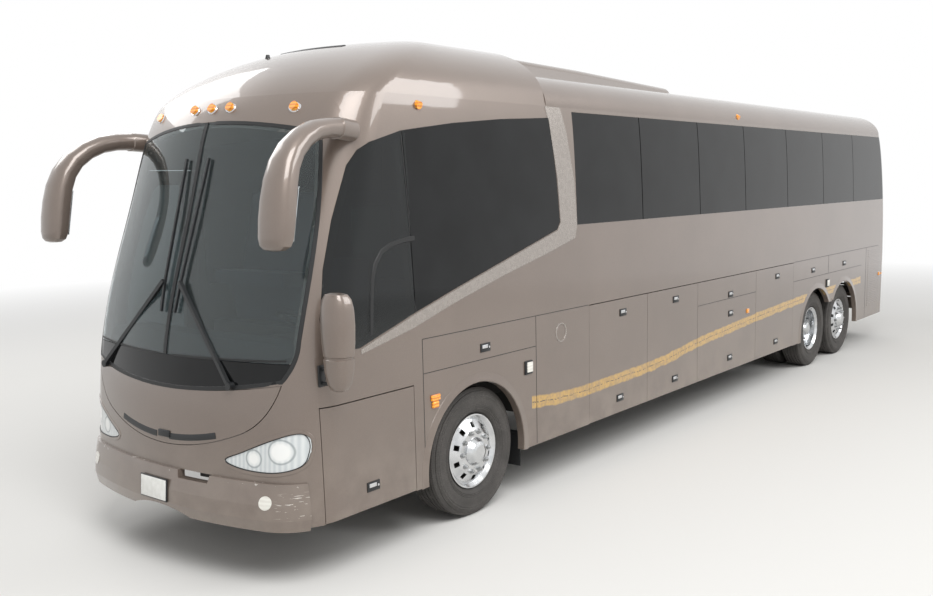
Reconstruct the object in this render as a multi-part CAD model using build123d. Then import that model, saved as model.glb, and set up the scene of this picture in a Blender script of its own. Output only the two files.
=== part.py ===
"""Three-axle touring coach, about 13.7 m long, as separate panels, running gear and doors.

Lengths are millimetres. Stations X are measured forward from the front axle, Y to the
left and Z up from the ground; the finished pieces are moved so that the origin lies on
the ground in the middle of the bounding box.
"""
from build123d import *
import os
from math import atan2, cos, pi, sin, sqrt

# Driving dimensions
front_axle_x = 4615.0        # the front axle, from the part's origin
wheelbase = 8015.0           # front axle to drive axle
tag_spacing = 1205.0         # drive axle to tag axle
wall = 60.0                  # thickness of every wall, panel and door
sill_z = 435.0
waist_z = 1585.0             # groove above the luggage doors
eaves_z = 3400.0             # joint between walls and roof
roof_break_x = -1090.0       # front dome to rear roof
mask_x = 1762.0              # rear edge of the front mask at the sill
tail_x = -11475.0
tail_panel_x = -11282.0      # front edge of the rear wall
seam = 5.0                   # gap round doors and panels
seat_gap = 0.3               # running contact between curved pieces

# Body sections: height, nose station, tail station, half width, nose radius, corner radius
BODY_SECTIONS = [
    (350, 2157, tail_x + 35, 1295, 3850, 390),
    (912, 2137, tail_x + 8, 1295, 3850, 390),
    (1326, 2103, tail_x, 1295, 3800, 390),
    (1914, 1993, tail_x, 1290, 3500, 380),
    (2645, 1765, tail_x + 45, 1268, 3000, 370),
    (3230, 1584, tail_x + 135, 1235, 2650, 360),
    (eaves_z, 1485, tail_x + 180, 1217, 2550, 350),
]
tail_radius = 6000.0
tail_corner = 260.0

# Roof caps: height, tip station, half width, tip radius, corner radius
DOME_SECTIONS = [
    (eaves_z, 1485, 1217, 2550, 350),
    (3520, 1350, 1188, 2300, 345),
    (3640, 1150, 1125, 2000, 335),
    (3750, 890, 1010, 1700, 320),
    (3845, 560, 840, 1350, 290),
    (3915, 180, 610, 950, 240),
    (3950, -200, 360, 600, 180),
]
REAR_ROOF_SECTIONS = [
    (eaves_z, tail_x + 180, 1217, 6000, 260),
    (3520, tail_x + 225, 1188, 5500, 260),
    (3620, tail_x + 310, 1105, 4800, 260),
    (3690, tail_x + 480, 960, 4000, 260),
    (3725, tail_x + 760, 720, 3000, 260),
]

# Glass
rebate = 10.0                # depth of the step that the flush glass lies in
glass_inset = 1.0            # glass face below the panel face
glass_gap = 3.0              # sealed joint round a pane
glass_bottom_z = 2345.0
glass_top_z = 3367.0
band_front_x = -1500.0       # rear glass band, behind the silver pillar
band_rear_x = -11385.0       # foot of the band's slanted rear edge
band_lean = 295.0            # how far its head lies ahead of its foot
band_wrap_y = 1150.0         # the glass ends here on the tail corner
pane_gap = 8.0
pillar = 80.0                # wall left between two window openings
PANE_LINES = [-2760.0, -4100.0, -5380.0, -6780.0, -8190.0, -9560.0]

# Cab and first side window: outline in X and Z
CAB_GLASS = [(1384, 1612), (1703, 1612), (1698, 1849), (1625, 2182), (1514, 2513), (1362, 2883),
             (1277, 2988), (1170, 3046), (838, 3135), (263, 3206), (-387, 3262), (-1112, 3300),
             (-1190, 2757), (-1215, 2383), (-1165, 2318), (340, 1920), (776, 1798)]
CAB_SPLIT = [(838, 3400), (772, 1500)]   # line between the driver's pane and the next

# Silver band under the cab glass and up the pillar: outline in X and Z
SILVER_BAND = [(1375, 1566), (820, 1680), (369, 1807), (-290, 1968), (-1039, 2128), (-1458, 2228),
               (-1496, 2343), (-1474, 2754), (-1380, 3200), (-1312, eaves_z), (-1070, eaves_z),
               (-1122, 3193), (-1196, 2757), (-1221, 2380), (-1171, 2312), (338, 1912), (774, 1790),
               (1375, 1604)]

# Front mask openings, in Y and Z
SCREEN_TOP = (3226, 1040, 3120)          # centre height, half width, height at the corners
SCREEN_FOOT = (1326, 1090, 1432)         # centre height, half width, height at the ends
FLAP_FOOT = [(0, 912), (745, 1049), (985, 1215), (1085, 1418)]
HEADLAMP = [(633, 870), (769, 939), (1010, 1045), (1190, 1107), (1241, 1070), (1246, 960),
            (1205, 845), (1030, 806), (760, 812)]
bumper_top_z = 750.0
bumper_foot_z = 418.0
bumper_end_x = 1868.0

# Rear edge of the front mask, in X and Z
MASK_EDGE = [(mask_x, sill_z), (mask_x, 1590), (1706, 1612), (1702, 1849), (1629, 2182),
             (1518, 2513), (1366, 2883), (1305, 2960)]

# Doors below the waist, alike on both sides: front and rear stations
LUGGAGE_BAYS = [(-1676, -2827), (-2827, -4020), (-4020, -5702), (-5702, -7006)]
FRONT_LOCKER = (828, mask_x, 1253)       # rear and front stations, top height, left side
ENTRANCE = [(840, sill_z), *MASK_EDGE[:6], (1400, 2790), (1330, 2900), (840, 2900)]
ENTRANCE_GLASS = [(930, 1150), (1640, 1150), (1640, 1586), (1600, 1849), (1530, 2182),
                  (1420, 2513), (1300, 2760), (1230, 2820), (930, 2820)]
ENGINE_LID = (880, 640, 1560)            # half width, foot, top
REAR_WINDOW = (900, 2420, 3200)          # half width, foot, top
rear_wall_z = 560.0
louvres = 6
waist_gap = 8.0              # groove above a hinged door
flap_depth = 25.0
silver_depth = 4.0
lamp_rear_x = 1780.0

# Wheels: 12R22.5 tyres on disc wheels
tyre_radius = 540.0
tyre_width = 300.0
bead_radius = 286.0
wheel_face_y = 1222.0        # outer sidewall
dual_spacing = 350.0
single_dish = 12.0           # disc face inside the outer flange, front and tag wheels
dual_dish = 150.0
hub_depth = 60.0             # disc face to the back of the hub
hub_radius = 118.0
hand_holes = 10
kingpin_y = 960.0
arch_radius = 635.0
arch_z = 505.0
arch_offset = 55.0           # the arch sits a little ahead of the wheel

floor_z = 1560.0             # saloon floor, top
floor_depth = 50.0
platform_z = 1000.0          # driver's platform, top
platform_rear_x = 700.0
bay_floor_z = 500.0
rail_y = 330.0
rail_width = 100.0
rail_z = 700.0
rail_height = 180.0
bulkhead = 40.0              # thickness of the walls between the luggage bays


def block(x0, x1, y0, y1, z0, z1):
    """A rectangular block between pairs of planes."""
    size = (abs(x1 - x0), abs(y1 - y0), abs(z1 - z0))
    return Pos((x0 + x1) / 2, (y0 + y1) / 2, (z0 + z1) / 2) * Box(*size)


def side_prism(points, y0, y1):
    """An outline in X and Z, carried across from y0 to y1."""
    face = make_face(Polyline([Vector(x, y1, z) for x, z in points], close=True))
    return extrude(face, amount=y1 - y0, dir=(0, -1, 0))


def front_prism(face, x0, x1):
    """A face drawn in the YZ plane, carried along X from x0 to x1."""
    return extrude(Pos(x0, 0, 0) * face, amount=x1 - x0, dir=(1, 0, 0))


def mirror_y(shape):
    """The same piece on the other side."""
    return shape.mirror(Plane.XZ)


def end_points(tip, half, tip_radius, corner_radius, way):
    """Corner and tip arcs of one end of a plan section: side, corner middle, joint."""
    arc_x = tip - way * tip_radius
    corner_y = half - corner_radius
    corner_x = arc_x + way * sqrt((tip_radius - corner_radius) ** 2 - corner_y ** 2)
    reach = tip_radius / (tip_radius - corner_radius)
    joint = (arc_x + (corner_x - arc_x) * reach, corner_y * reach)
    turn = (atan2(joint[1] - corner_y, way * (joint[0] - corner_x)) + pi / 2) / 2
    middle = (corner_x + way * corner_radius * cos(turn), corner_y + corner_radius * sin(turn))
    return (corner_x, half), middle, joint


def body_wire(section, inset):
    """Closed plan outline of the whole body at one height."""
    z, nose, tail, half, nose_radius, corner_radius = section
    front = end_points(nose - inset, half - inset, nose_radius - inset, corner_radius - inset, 1)
    rear = end_points(tail + inset, half - inset, tail_radius - inset, tail_corner - inset, -1)
    edges = [Edge.make_line((rear[0][0], half - inset, z), (front[0][0], half - inset, z))]
    edges += end_edges(front, nose - inset, z)
    edges += [Edge.make_line((front[0][0], inset - half, z), (rear[0][0], inset - half, z))]
    edges += reversed_end(rear, tail + inset, z)
    return Wire(edges)


def end_edges(points, tip, z):
    """Corner, tip and corner arcs from the left side round to the right."""
    side, middle, joint = points
    return [Edge.make_three_point_arc((*side, z), (*middle, z), (*joint, z)),
            Edge.make_three_point_arc((*joint, z), (tip, 0, z), (joint[0], -joint[1], z)),
            Edge.make_three_point_arc((joint[0], -joint[1], z), (middle[0], -middle[1], z),
                                      (side[0], -side[1], z))]


def reversed_end(points, tip, z):
    """The same arcs from the right side round to the left."""
    side, middle, joint = points
    return [Edge.make_three_point_arc((side[0], -side[1], z), (middle[0], -middle[1], z),
                                      (joint[0], -joint[1], z)),
            Edge.make_three_point_arc((joint[0], -joint[1], z), (tip, 0, z), (*joint, z)),
            Edge.make_three_point_arc((*joint, z), (*middle, z), (*side, z))]


def envelope(inset):
    """The whole body below the eaves, drawn in by the inset; its lining runs straight."""
    return Solid.make_loft([body_wire(section, inset) for section in BODY_SECTIONS], inset > 50)


def cap_wire(section, inset, way):
    """Plan outline of a roof cap, open to the joint between the two roofs."""
    z, tip, half, tip_radius, corner_radius = section
    start = roof_break_x + way * 1.0
    points = end_points(tip - way * inset, half - inset, tip_radius - inset,
                        corner_radius - inset, way)
    z = z - inset
    side = points[0][0]
    edges = [Edge.make_line((start, half - inset, z), (side, half - inset, z))]
    edges += end_edges(points, tip - way * inset, z)
    edges += [Edge.make_line((side, inset - half, z), (start, inset - half, z)),
              Edge.make_line((start, inset - half, z), (start, half - inset, z))]
    return Wire(edges)


def roof_block(sections, inset, way):
    """One roof as a solid, drawn in and lowered by the inset."""
    return Solid.make_loft([cap_wire(section, inset, way) for section in sections])


def nose_x(y, z):
    """Station of the body's front surface, read between the sections."""
    for low, high in zip(BODY_SECTIONS, BODY_SECTIONS[1:]):
        if z <= high[0]:
            break
    share = (z - low[0]) / (high[0] - low[0])
    nose, half, radius, corner = (low[i] + (high[i] - low[i]) * share for i in (1, 3, 4, 5))
    corner_y = half - corner
    arc_x = nose - radius
    corner_x = arc_x + sqrt((radius - corner) ** 2 - corner_y ** 2)
    joint_y = corner_y * radius / (radius - corner)
    if abs(y) <= joint_y:
        return arc_x + sqrt(radius ** 2 - y ** 2)
    return corner_x + sqrt(max(corner ** 2 - (abs(y) - corner_y) ** 2, 0))


def arc_yz(a, b, c):
    """Arc through three points given in Y and Z."""
    return Edge.make_three_point_arc((0, *a), (0, *b), (0, *c))


def screen_face(shrink):
    """Windscreen and black panel: arched top, bowed sides and a smiling foot."""
    top_z, top_y, top_end = SCREEN_TOP
    foot_z, foot_y, foot_end = SCREEN_FOOT
    top_z, top_y, top_end = top_z - shrink, top_y - shrink, top_end - shrink
    foot_z, foot_y, foot_end = foot_z + shrink, foot_y - shrink, foot_end + shrink
    waist = 1168 - shrink
    edges = [arc_yz((-top_y, top_end), (0, top_z), (top_y, top_end)),
             arc_yz((top_y, top_end), (waist - 15, 2280), (waist - 2, 1700)),
             arc_yz((waist - 2, 1700), (waist - 22, 1540), (foot_y, foot_end)),
             arc_yz((foot_y, foot_end), (0, foot_z), (-foot_y, foot_end)),
             arc_yz((-foot_y, foot_end), (22 - waist, 1540), (2 - waist, 1700)),
             arc_yz((2 - waist, 1700), (15 - waist, 2280), (-top_y, top_end))]
    return make_face(edges)


def flap_face(shrink):
    """Service flap between the black panel and the bumper."""
    foot_z, foot_y, foot_end = SCREEN_FOOT
    (_, low), (y1, z1), (y2, z2), (y3, z3) = FLAP_FOOT
    lift = 1.6 * shrink
    top = foot_z - shrink
    end_y, end_z = y3 - lift, z3 - shrink
    edges = [arc_yz((-end_y, end_z), (0, top), (end_y, end_z)),
             arc_yz((end_y, end_z), (y2 - shrink, z2 + shrink), (y1 - shrink, z1 + shrink)),
             arc_yz((y1 - shrink, z1 + shrink), (0, low + shrink), (shrink - y1, z1 + shrink)),
             arc_yz((shrink - y1, z1 + shrink), (shrink - y2, z2 + shrink), (-end_y, end_z))]
    return make_face(edges)


def headlamp_face(shrink):
    """Almond-shaped lamp: pointed inboard, round outboard."""
    outline = make_face(Polyline([Vector(0, y, z) for y, z in HEADLAMP], close=True))
    return offset(outline, amount=-shrink, kind=Kind.INTERSECTION) if shrink else outline


def side_window(points, shrink, y0, y1):
    """A window prism, drawn in by the given margin."""
    face = make_face(Polyline([Vector(x, y1, z) for x, z in points], close=True))
    if shrink:
        face = offset(face, amount=-shrink, kind=Kind.INTERSECTION)
    return extrude(face, amount=y1 - y0, dir=(0, -1, 0))


def band_panes():
    """Front and rear station of each pane in the rear glass band."""
    lines = [band_front_x + pane_gap / 2, *PANE_LINES, band_rear_x - pane_gap / 2]
    return [(a - pane_gap / 2, b + pane_gap / 2) for a, b in zip(lines, lines[1:])]


def band_prism(front, rear, shrink):
    """Part of the glass band between two stations, its rear end leaning like the tail."""
    low, high = glass_bottom_z + shrink, glass_top_z - shrink
    lean = band_lean if rear <= band_rear_x + 1 else 0
    return side_prism([(front - shrink, low), (front - shrink, high), (rear + lean + shrink, high),
                       (rear + shrink, low)], band_wrap_y, 1500)


def tail_zone():
    """Everything behind the seam between side walls and rear wall."""
    seam_line = [(tail_panel_x + row[2] - tail_x, row[0]) for row in BODY_SECTIONS[3:]]
    return side_prism([(-12000, 300), (tail_panel_x, 300), *seam_line, (-12000, eaves_z)],
                      -1500, 1500)


def arch(x, y0, y1, grow=0.0):
    """Wheel arch cutter: a round top on slanting flanks."""
    low = sill_z - 40
    cut = Pos(x + arch_offset, (y0 + y1) / 2, arch_z) * Rot(90, 0, 0) * Cylinder(
        arch_radius + grow, y1 - y0)
    return cut - block(x - 2000, x + 2000, y0 - 1, y1 + 1, low - 2000, low)


def axle_x(index):
    """Station of the front, drive or tag axle."""
    return (0.0, -wheelbase, -wheelbase - tag_spacing)[index]


def revolve_wheel(points, x, z):
    """A profile of Y and radius turned about the wheel's axis."""
    face = make_face(Polyline([Vector(x, y, z + r) for y, r in points], close=True))
    return revolve(face, axis=Axis((x, 0, z), (0, 1, 0)), revolution_arc=360)


# Tyre profile: distance inboard of the outer sidewall, radius
TYRE_PROFILE = [(62, bead_radius + seat_gap), (62, 312), (14, 340), (0, 430), (38, tyre_radius)]


def tyre(x, face_y):
    """One tyre, its outer sidewall at face_y on the left side."""
    outer = [(face_y - inboard, r) for inboard, r in TYRE_PROFILE]
    inner = [(face_y - tyre_width + inboard, r) for inboard, r in reversed(TYRE_PROFILE)]
    return revolve_wheel(outer + inner, x, tyre_radius)


def rim(x, face_y, dish, hub_out):
    """Disc wheel: dished barrel with a disc, hand holes and a raised hub.

    dish is the depth of the disc inside the outer flange.
    """
    flange, lip = 310, 32
    back = face_y - tyre_width
    disc = face_y - dish
    profile = [(face_y - lip, flange), (face_y - 60, bead_radius), (back + 60, bead_radius),
               (back + lip, flange), (back + 75, 268), (disc - 62, 268), (disc - 22, 190),
               (disc - 22, hub_radius - 1), (disc, hub_radius - 1), (disc, 182), (disc - 42, 262),
               (face_y - 60, 270), (face_y - lip, 298)]
    wheel = revolve_wheel(profile, x, tyre_radius)
    hand_hole = Box(44, 90, 44)
    for i in range(hand_holes):
        hole = Pos(x, disc - 30, tyre_radius) * Rot(0, i * 360 / hand_holes, 0) * Pos(0, 0, 224)
        wheel = wheel - hole * hand_hole
    hub = revolve_wheel([(disc - hub_depth, 0), (disc - hub_depth, hub_radius), (disc + 4, hub_radius),
                         (disc + hub_out - 12, 88), (disc + hub_out, 60), (disc + hub_out, 0)],
                        x, tyre_radius)
    return wheel + hub


PARTS = {}


def add(name, *solids):
    """Keeps the solids of one node."""
    pieces = []
    for shape in solids:
        pieces += [s if s.is_valid else s.fix() for s in shape.solids()]
    PARTS[name] = pieces


def build_shell():
    """Walls, mask, rear wall, roofs, bumpers and everything cut from the same surface."""
    outer = envelope(0)
    shell = outer - envelope(wall)
    rebate_skin = outer - envelope(rebate)
    glass_skin = envelope(glass_inset) - envelope(rebate - seat_gap)
    far = 1500.0
    ahead = 2500.0

    # the mask ends along the front edge of the cab glass
    mask_zone = side_prism([*MASK_EDGE, (MASK_EDGE[-1][0], eaves_z), (ahead, eaves_z),
                            (ahead, sill_z)], -far, far)
    behind = tail_zone()
    screen = front_prism(screen_face(0), 1000, ahead)
    screen_light = front_prism(screen_face(45), 1000, ahead)
    flap = front_prism(flap_face(0), 1000, ahead)
    flap_light = front_prism(flap_face(30), 1000, ahead)
    flap_ledge = outer - envelope(flap_depth)
    lamp = front_prism(headlamp_face(0), lamp_rear_x, ahead)
    bumper_zone = block(bumper_end_x - seat_gap, ahead, -far, far, 300, bumper_top_z + seat_gap)

    # front mask
    mask = (shell & mask_zone) - bumper_zone - (rebate_skin & screen) - screen_light
    mask = mask - (flap_ledge & flap) - flap_light - lamp - mirror_y(lamp)
    add("front_mask", mask)

    # windscreen panes either side of the centre bar, with the black panel below
    bar = 34.0                   # width of the centre bar
    black_z = 1560.0             # upper edge of the black panel
    pane = glass_skin & front_prism(screen_face(glass_gap), 1000, ahead)
    upper = pane & block(1000, ahead, bar / 2 + 2, far, black_z, 3500)
    lower = pane & block(1000, ahead, -far, far, 1000, black_z - 4)
    add("windscreen", upper, mirror_y(upper), lower)
    centre = envelope(-8) - envelope(rebate - seat_gap)
    centre = centre & block(1000, ahead, -bar / 2, bar / 2, black_z, SCREEN_TOP[0] - 4)
    add("windscreen_bar", centre)

    # service flap, headlamps
    flap_skin = outer - envelope(flap_depth - seat_gap)
    add("front_flap", flap_skin & front_prism(flap_face(seam), 1000, ahead))
    lens = (envelope(2) - envelope(wall - 5)) & front_prism(headlamp_face(seat_gap), lamp_rear_x, ahead)
    add("headlamps", lens, mirror_y(lens))

    # side walls: what both sides share, then the cab glass of each side
    silver = side_prism(SILVER_BAND, 1000, far)
    silver_skin = outer - envelope(silver_depth)
    plain = (shell & block(-12000, mask_x, 0, far, sill_z, eaves_z)) - mask_zone - behind
    plain = plain - (rebate_skin & band_prism(band_front_x, band_rear_x, 0)) - (silver_skin & silver)
    for a, b in band_panes():
        rear_edge = max(b, tail_panel_x + 100)
        plain = plain - block(rear_edge + pillar / 2, a - pillar / 2, 1000, far,
                              glass_bottom_z + 45, glass_top_z - 45)
    for index in range(3):
        plain = plain - arch(axle_x(index), 1000, far)
    plain = plain - block(axle_x(2) + arch_offset, axle_x(1) + arch_offset, 1000, far,
                          sill_z - 1, arch_z + 380)
    plain = plain - block(LUGGAGE_BAYS[-1][1], LUGGAGE_BAYS[0][0], 1000, far, sill_z - 1, waist_z)

    post = side_prism([(CAB_SPLIT[0][0] - 40, 3400), (CAB_SPLIT[0][0] + 40, 3400),
                       (CAB_SPLIT[1][0] + 40, 1500), (CAB_SPLIT[1][0] - 40, 1500)], 900, far + 1)
    cab = side_prism(CAB_GLASS, 1000, far)
    light = side_window(CAB_GLASS, 50, 1000, far) - post
    behind_door = block(-3000, ENTRANCE[0][0] - 10, 900, far, 300, 3500)
    rear_locker, front_locker, locker_top = FRONT_LOCKER
    left = plain - (rebate_skin & cab) - light
    left = left - block(rear_locker, mask_x + 1, 1000, far, sill_z - 1, locker_top)
    right = plain - (rebate_skin & cab & behind_door) - (light & behind_door)
    right = mirror_y(right - side_prism(ENTRANCE, 1000, far))
    add("side_wall_left", left)
    add("side_wall_right", right)

    # side glass
    sheet = glass_skin & block(-12000, 3000, 0, far, 0, 4000)
    panes = [sheet & band_prism(a, b, glass_gap) for a, b in band_panes()]
    split = side_prism([(CAB_SPLIT[0][0] - 4, 3500), (CAB_SPLIT[0][0] + 4, 3500),
                        (CAB_SPLIT[1][0] + 4, 1400), (CAB_SPLIT[1][0] - 4, 1400)], 900, far + 1)
    cab_panes = (sheet & side_window(CAB_GLASS, glass_gap, 1000, far)) - split
    add("side_glass_left", *panes, cab_panes)
    right_cab = cab_panes & block(-3000, ENTRANCE[0][0] - 13, 900, far, 300, 3500)
    door_pane = sheet & side_window(ENTRANCE_GLASS, glass_gap, 1000, far)
    add("side_glass_right", *[mirror_y(p) for p in (*panes, right_cab, door_pane)])

    # entrance door on the right
    door = ((shell & side_window(ENTRANCE, seam, 1000, far))
            - (rebate_skin & side_prism(ENTRANCE_GLASS, 1000, far))
            - side_window(ENTRANCE_GLASS, 45, 1000, far))
    add("entrance_door", mirror_y(door))

    # silver bands, flush with a small stand
    trim = (envelope(-2) - envelope(silver_depth - seat_gap)) & side_window(SILVER_BAND, 1, 1000, far)
    trim = trim - side_window(CAB_GLASS, glass_gap - 1, 1000, far)
    add("silver_bands", trim, mirror_y(trim - side_prism(ENTRANCE, 1000, far)))

    # luggage doors and the front locker
    for number, (front, rear) in enumerate(LUGGAGE_BAYS, start=1):
        leaf = shell & block(rear + seam / 2, front - seam / 2, 1000, far, sill_z + seam,
                             waist_z - waist_gap)
        add(f"luggage_door_left_{number}", leaf)
        add(f"luggage_door_right_{number}", mirror_y(leaf))
    locker = shell & block(rear_locker + seam, front_locker - seam, 1000, far, sill_z + seam,
                           locker_top - waist_gap)
    add("locker_door", locker)

    # rear wall with a window, lamp pockets and the engine lid
    lid_y, lid_foot, lid_top = ENGINE_LID
    rear = (shell & behind) - block(-12000, -10000, -far, far, 0, rear_wall_z)
    wrap = rebate_skin & band_prism(band_front_x, band_rear_x, 0)
    rear = rear - wrap - mirror_y(wrap)
    window_y, window_low, window_high = REAR_WINDOW
    opening = block(-12000, -11000, -window_y, window_y, window_low, window_high)
    light = block(-12000, -11000, 50 - window_y, window_y - 50, window_low + 50, window_high - 50)
    rear = rear - (rebate_skin & opening) - light
    rear = rear - block(-12000, -11000, -lid_y, lid_y, lid_foot, lid_top)
    pocket = (outer - envelope(25)) & block(-12000, -11000, 1010, 1180, 1000, 1560)
    rear = rear - pocket - mirror_y(pocket)
    add("rear_wall", rear)
    lid = shell & block(-12000, -11000, seam - lid_y, lid_y - seam, lid_foot + 12, lid_top - waist_gap)
    for row in range(louvres):
        z = lid_foot + 120 + row * 60
        lid = lid - block(-12000, -11000, -600, 600, z, z + 26)
    add("engine_lid", lid)
    pane = glass_skin & block(-12000, -11000, glass_gap - window_y, window_y - glass_gap,
                              window_low + glass_gap, window_high - glass_gap)
    add("rear_window", pane)
    lens = (envelope(1) - envelope(25 - seat_gap)) & block(-12000, -11000, 1013, 1177, 1003, 1557)
    add("rear_lamps", lens, mirror_y(lens))


def build_roof():
    """Front dome, rear roof and the air-conditioning pod."""
    dome = roof_block(DOME_SECTIONS, 0, 1) - roof_block(DOME_SECTIONS, wall, 1)
    dome = dome & block(roof_break_x + 1, 2500, -1500, 1500, eaves_z, 4200)
    add("roof_front", dome)
    rear = roof_block(REAR_ROOF_SECTIONS, 0, -1) - roof_block(REAR_ROOF_SECTIONS, wall, -1)
    rear = rear & block(-12500, roof_break_x - 1, -1500, 1500, eaves_z, 4200)
    add("roof_rear", rear)
    pod_rear = -4150.0
    # pod sections: station, half width at the foot, half width at the top, top height
    wires = []
    for x, foot_y, top_y, top_z in ((roof_break_x - 4, 960, 640, 3905), (-2400, 950, 700, 3870),
                                    (pod_rear, 930, 760, 3800)):
        shoulder = top_z - 40
        wires.append(Wire([
            Edge.make_line((x, -foot_y, 3600), (x, foot_y, 3600)),
            Edge.make_line((x, foot_y, 3600), (x, top_y + 90, shoulder - 40)),
            Edge.make_three_point_arc((x, top_y + 90, shoulder - 40), (x, top_y + 50, shoulder),
                                      (x, top_y, shoulder + 15)),
            Edge.make_three_point_arc((x, top_y, shoulder + 15), (x, 0, top_z + 10),
                                      (x, -top_y, shoulder + 15)),
            Edge.make_three_point_arc((x, -top_y, shoulder + 15), (x, -top_y - 50, shoulder),
                                      (x, -top_y - 90, shoulder - 40)),
            Edge.make_line((x, -top_y - 90, shoulder - 40), (x, -foot_y, 3600))]))
    pod = Solid.make_loft(wires, True)
    pod = pod - roof_block(REAR_ROOF_SECTIONS, -seat_gap, -1)
    add("roof_pod", pod)


def build_bumpers():
    """Front and rear bumpers, standing a little proud of the body."""
    rows = [(bumper_foot_z, 2195, 1290, 3850, 390), (500, 2213, 1298, 3850, 392),
            (600, 2205, 1299, 3850, 392), (bumper_top_z, 2172, 1299, 3850, 392)]

    def loft(inset):
        wires = []
        for z, nose, half, radius, corner in rows:
            points = end_points(nose - inset, half - inset, radius - inset, corner - inset, 1)
            edges = [Edge.make_line((1000, half - inset, z), (points[0][0], half - inset, z))]
            edges += end_edges(points, nose - inset, z)
            edges += [Edge.make_line((points[0][0], inset - half, z), (1000, inset - half, z)),
                      Edge.make_line((1000, inset - half, z), (1000, half - inset, z))]
            wires.append(Wire(edges))
        return Solid.make_loft(wires, True)
    bumper = (loft(0) - loft(wall)) & block(bumper_end_x, 2500, -1500, 1500, 0, 1000)
    arched = Pos(2100, 0, bumper_foot_z - 940) * Rot(0, 90, 0) * Cylinder(1000, 800)
    bumper = bumper - arched
    notch = Pos(2150, 363, bumper_top_z + 10) * Rot(0, 90, 0) * Cylinder(160, 500)
    notch = notch & block(1900, 2400, 190, 535, bumper_top_z - 55, bumper_top_z + 50)
    bumper = bumper - notch
    fog = Pos(2000, 1017, 622) * Rot(0, 90, 0) * Cylinder(48, 400)
    bumper = bumper - fog - mirror_y(fog)
    add("front_bumper", bumper)
    lens = (loft(-3) - loft(30)) & (Pos(2000, 1017, 622) * Rot(0, 90, 0) * Cylinder(47.7, 400))
    add("fog_lamps", lens, mirror_y(lens))
    rear = envelope(-6) - envelope(wall)
    rear = rear & block(-12500, tail_panel_x, -1500, 1500, 440, rear_wall_z - seat_gap)
    add("rear_bumper", rear)


def build_underframe():
    """Luggage floor, bulkheads, and the rails that carry the axles."""
    low, high = bay_floor_z - 60, floor_z - floor_depth
    far = 1400.0
    front, rear = LUGGAGE_BAYS[0][0], LUGGAGE_BAYS[-1][1]
    tail_member_x = tail_panel_x + 140
    members = (1600, 900, -900, rear - 300, axle_x(2) - 620, tail_member_x)
    rail_top = rail_z + rail_height
    frame = block(rear, front, -far, far, low, bay_floor_z)
    for x in [front] + [bay[1] for bay in LUGGAGE_BAYS]:
        frame = frame + block(x - bulkhead / 2, x + bulkhead / 2, -far, far, bay_floor_z, high)
    for side in (1, -1):
        y0, y1 = side * rail_y, side * (rail_y + rail_width)
        frame = frame + block(front, 2300, y0, y1, rail_z, rail_top)
        frame = frame + block(-12000, rear, y0, y1, rail_z, rail_top)
        # posts that hold the two floors over the axles
        y = side * (rail_y + rail_width / 2)
        for x in members:
            top = platform_z - floor_depth if x > 0 else high
            frame = frame + block(x - 40, x + 40, y - 45, y + 45, rail_top - 1, top)
    for x in members:
        reach = far if x in (1600, tail_member_x) else 900 if x > 0 else rail_y + 1
        frame = frame + block(x - 30, x + 30, -reach, reach, rail_z + 40, rail_top - 20)
    frame = frame & envelope(wall + seat_gap)
    # the nose and tail modules are bolted to the luggage hold's end bulkheads
    nose_joint, tail_joint = front + bulkhead / 2, rear - bulkhead / 2
    modules = [frame & block(nose_joint + seat_gap, 2500, -far, far, 0, eaves_z),
               frame & block(tail_joint, nose_joint, -far, far, 0, eaves_z),
               frame & block(-12000, tail_joint - seat_gap, -far, far, 0, eaves_z)]
    add("underframe", *modules)

    floors = (block(-12000, platform_rear_x, -far, far, high, floor_z)
              + block(platform_rear_x - 30, 2300, -far, far, platform_z - floor_depth, platform_z)
              + block(platform_rear_x - 30, platform_rear_x, -far, far, platform_z - 1, floor_z))
    well = block(platform_rear_x + 120, 1570, -far, -760, platform_z - 60, platform_z + 60)
    add("saloon_floor", (floors - well) & envelope(wall + seat_gap))
    step_rear, step_front = 930 + seat_gap, 1570 - seat_gap
    add("entrance_steps",
        block(step_rear, step_front, -1200, -730, sill_z + seam, 500)
        + block(step_rear, step_front, -1000, -730, 499, 780)
        + block(step_rear, step_front, -790, -730, 779, platform_z - floor_depth))
    engine_y = rail_y - seat_gap
    add("engine", block(tail_member_x + 30 + seat_gap, -9900, -engine_y, engine_y, 560, 1400))


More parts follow.
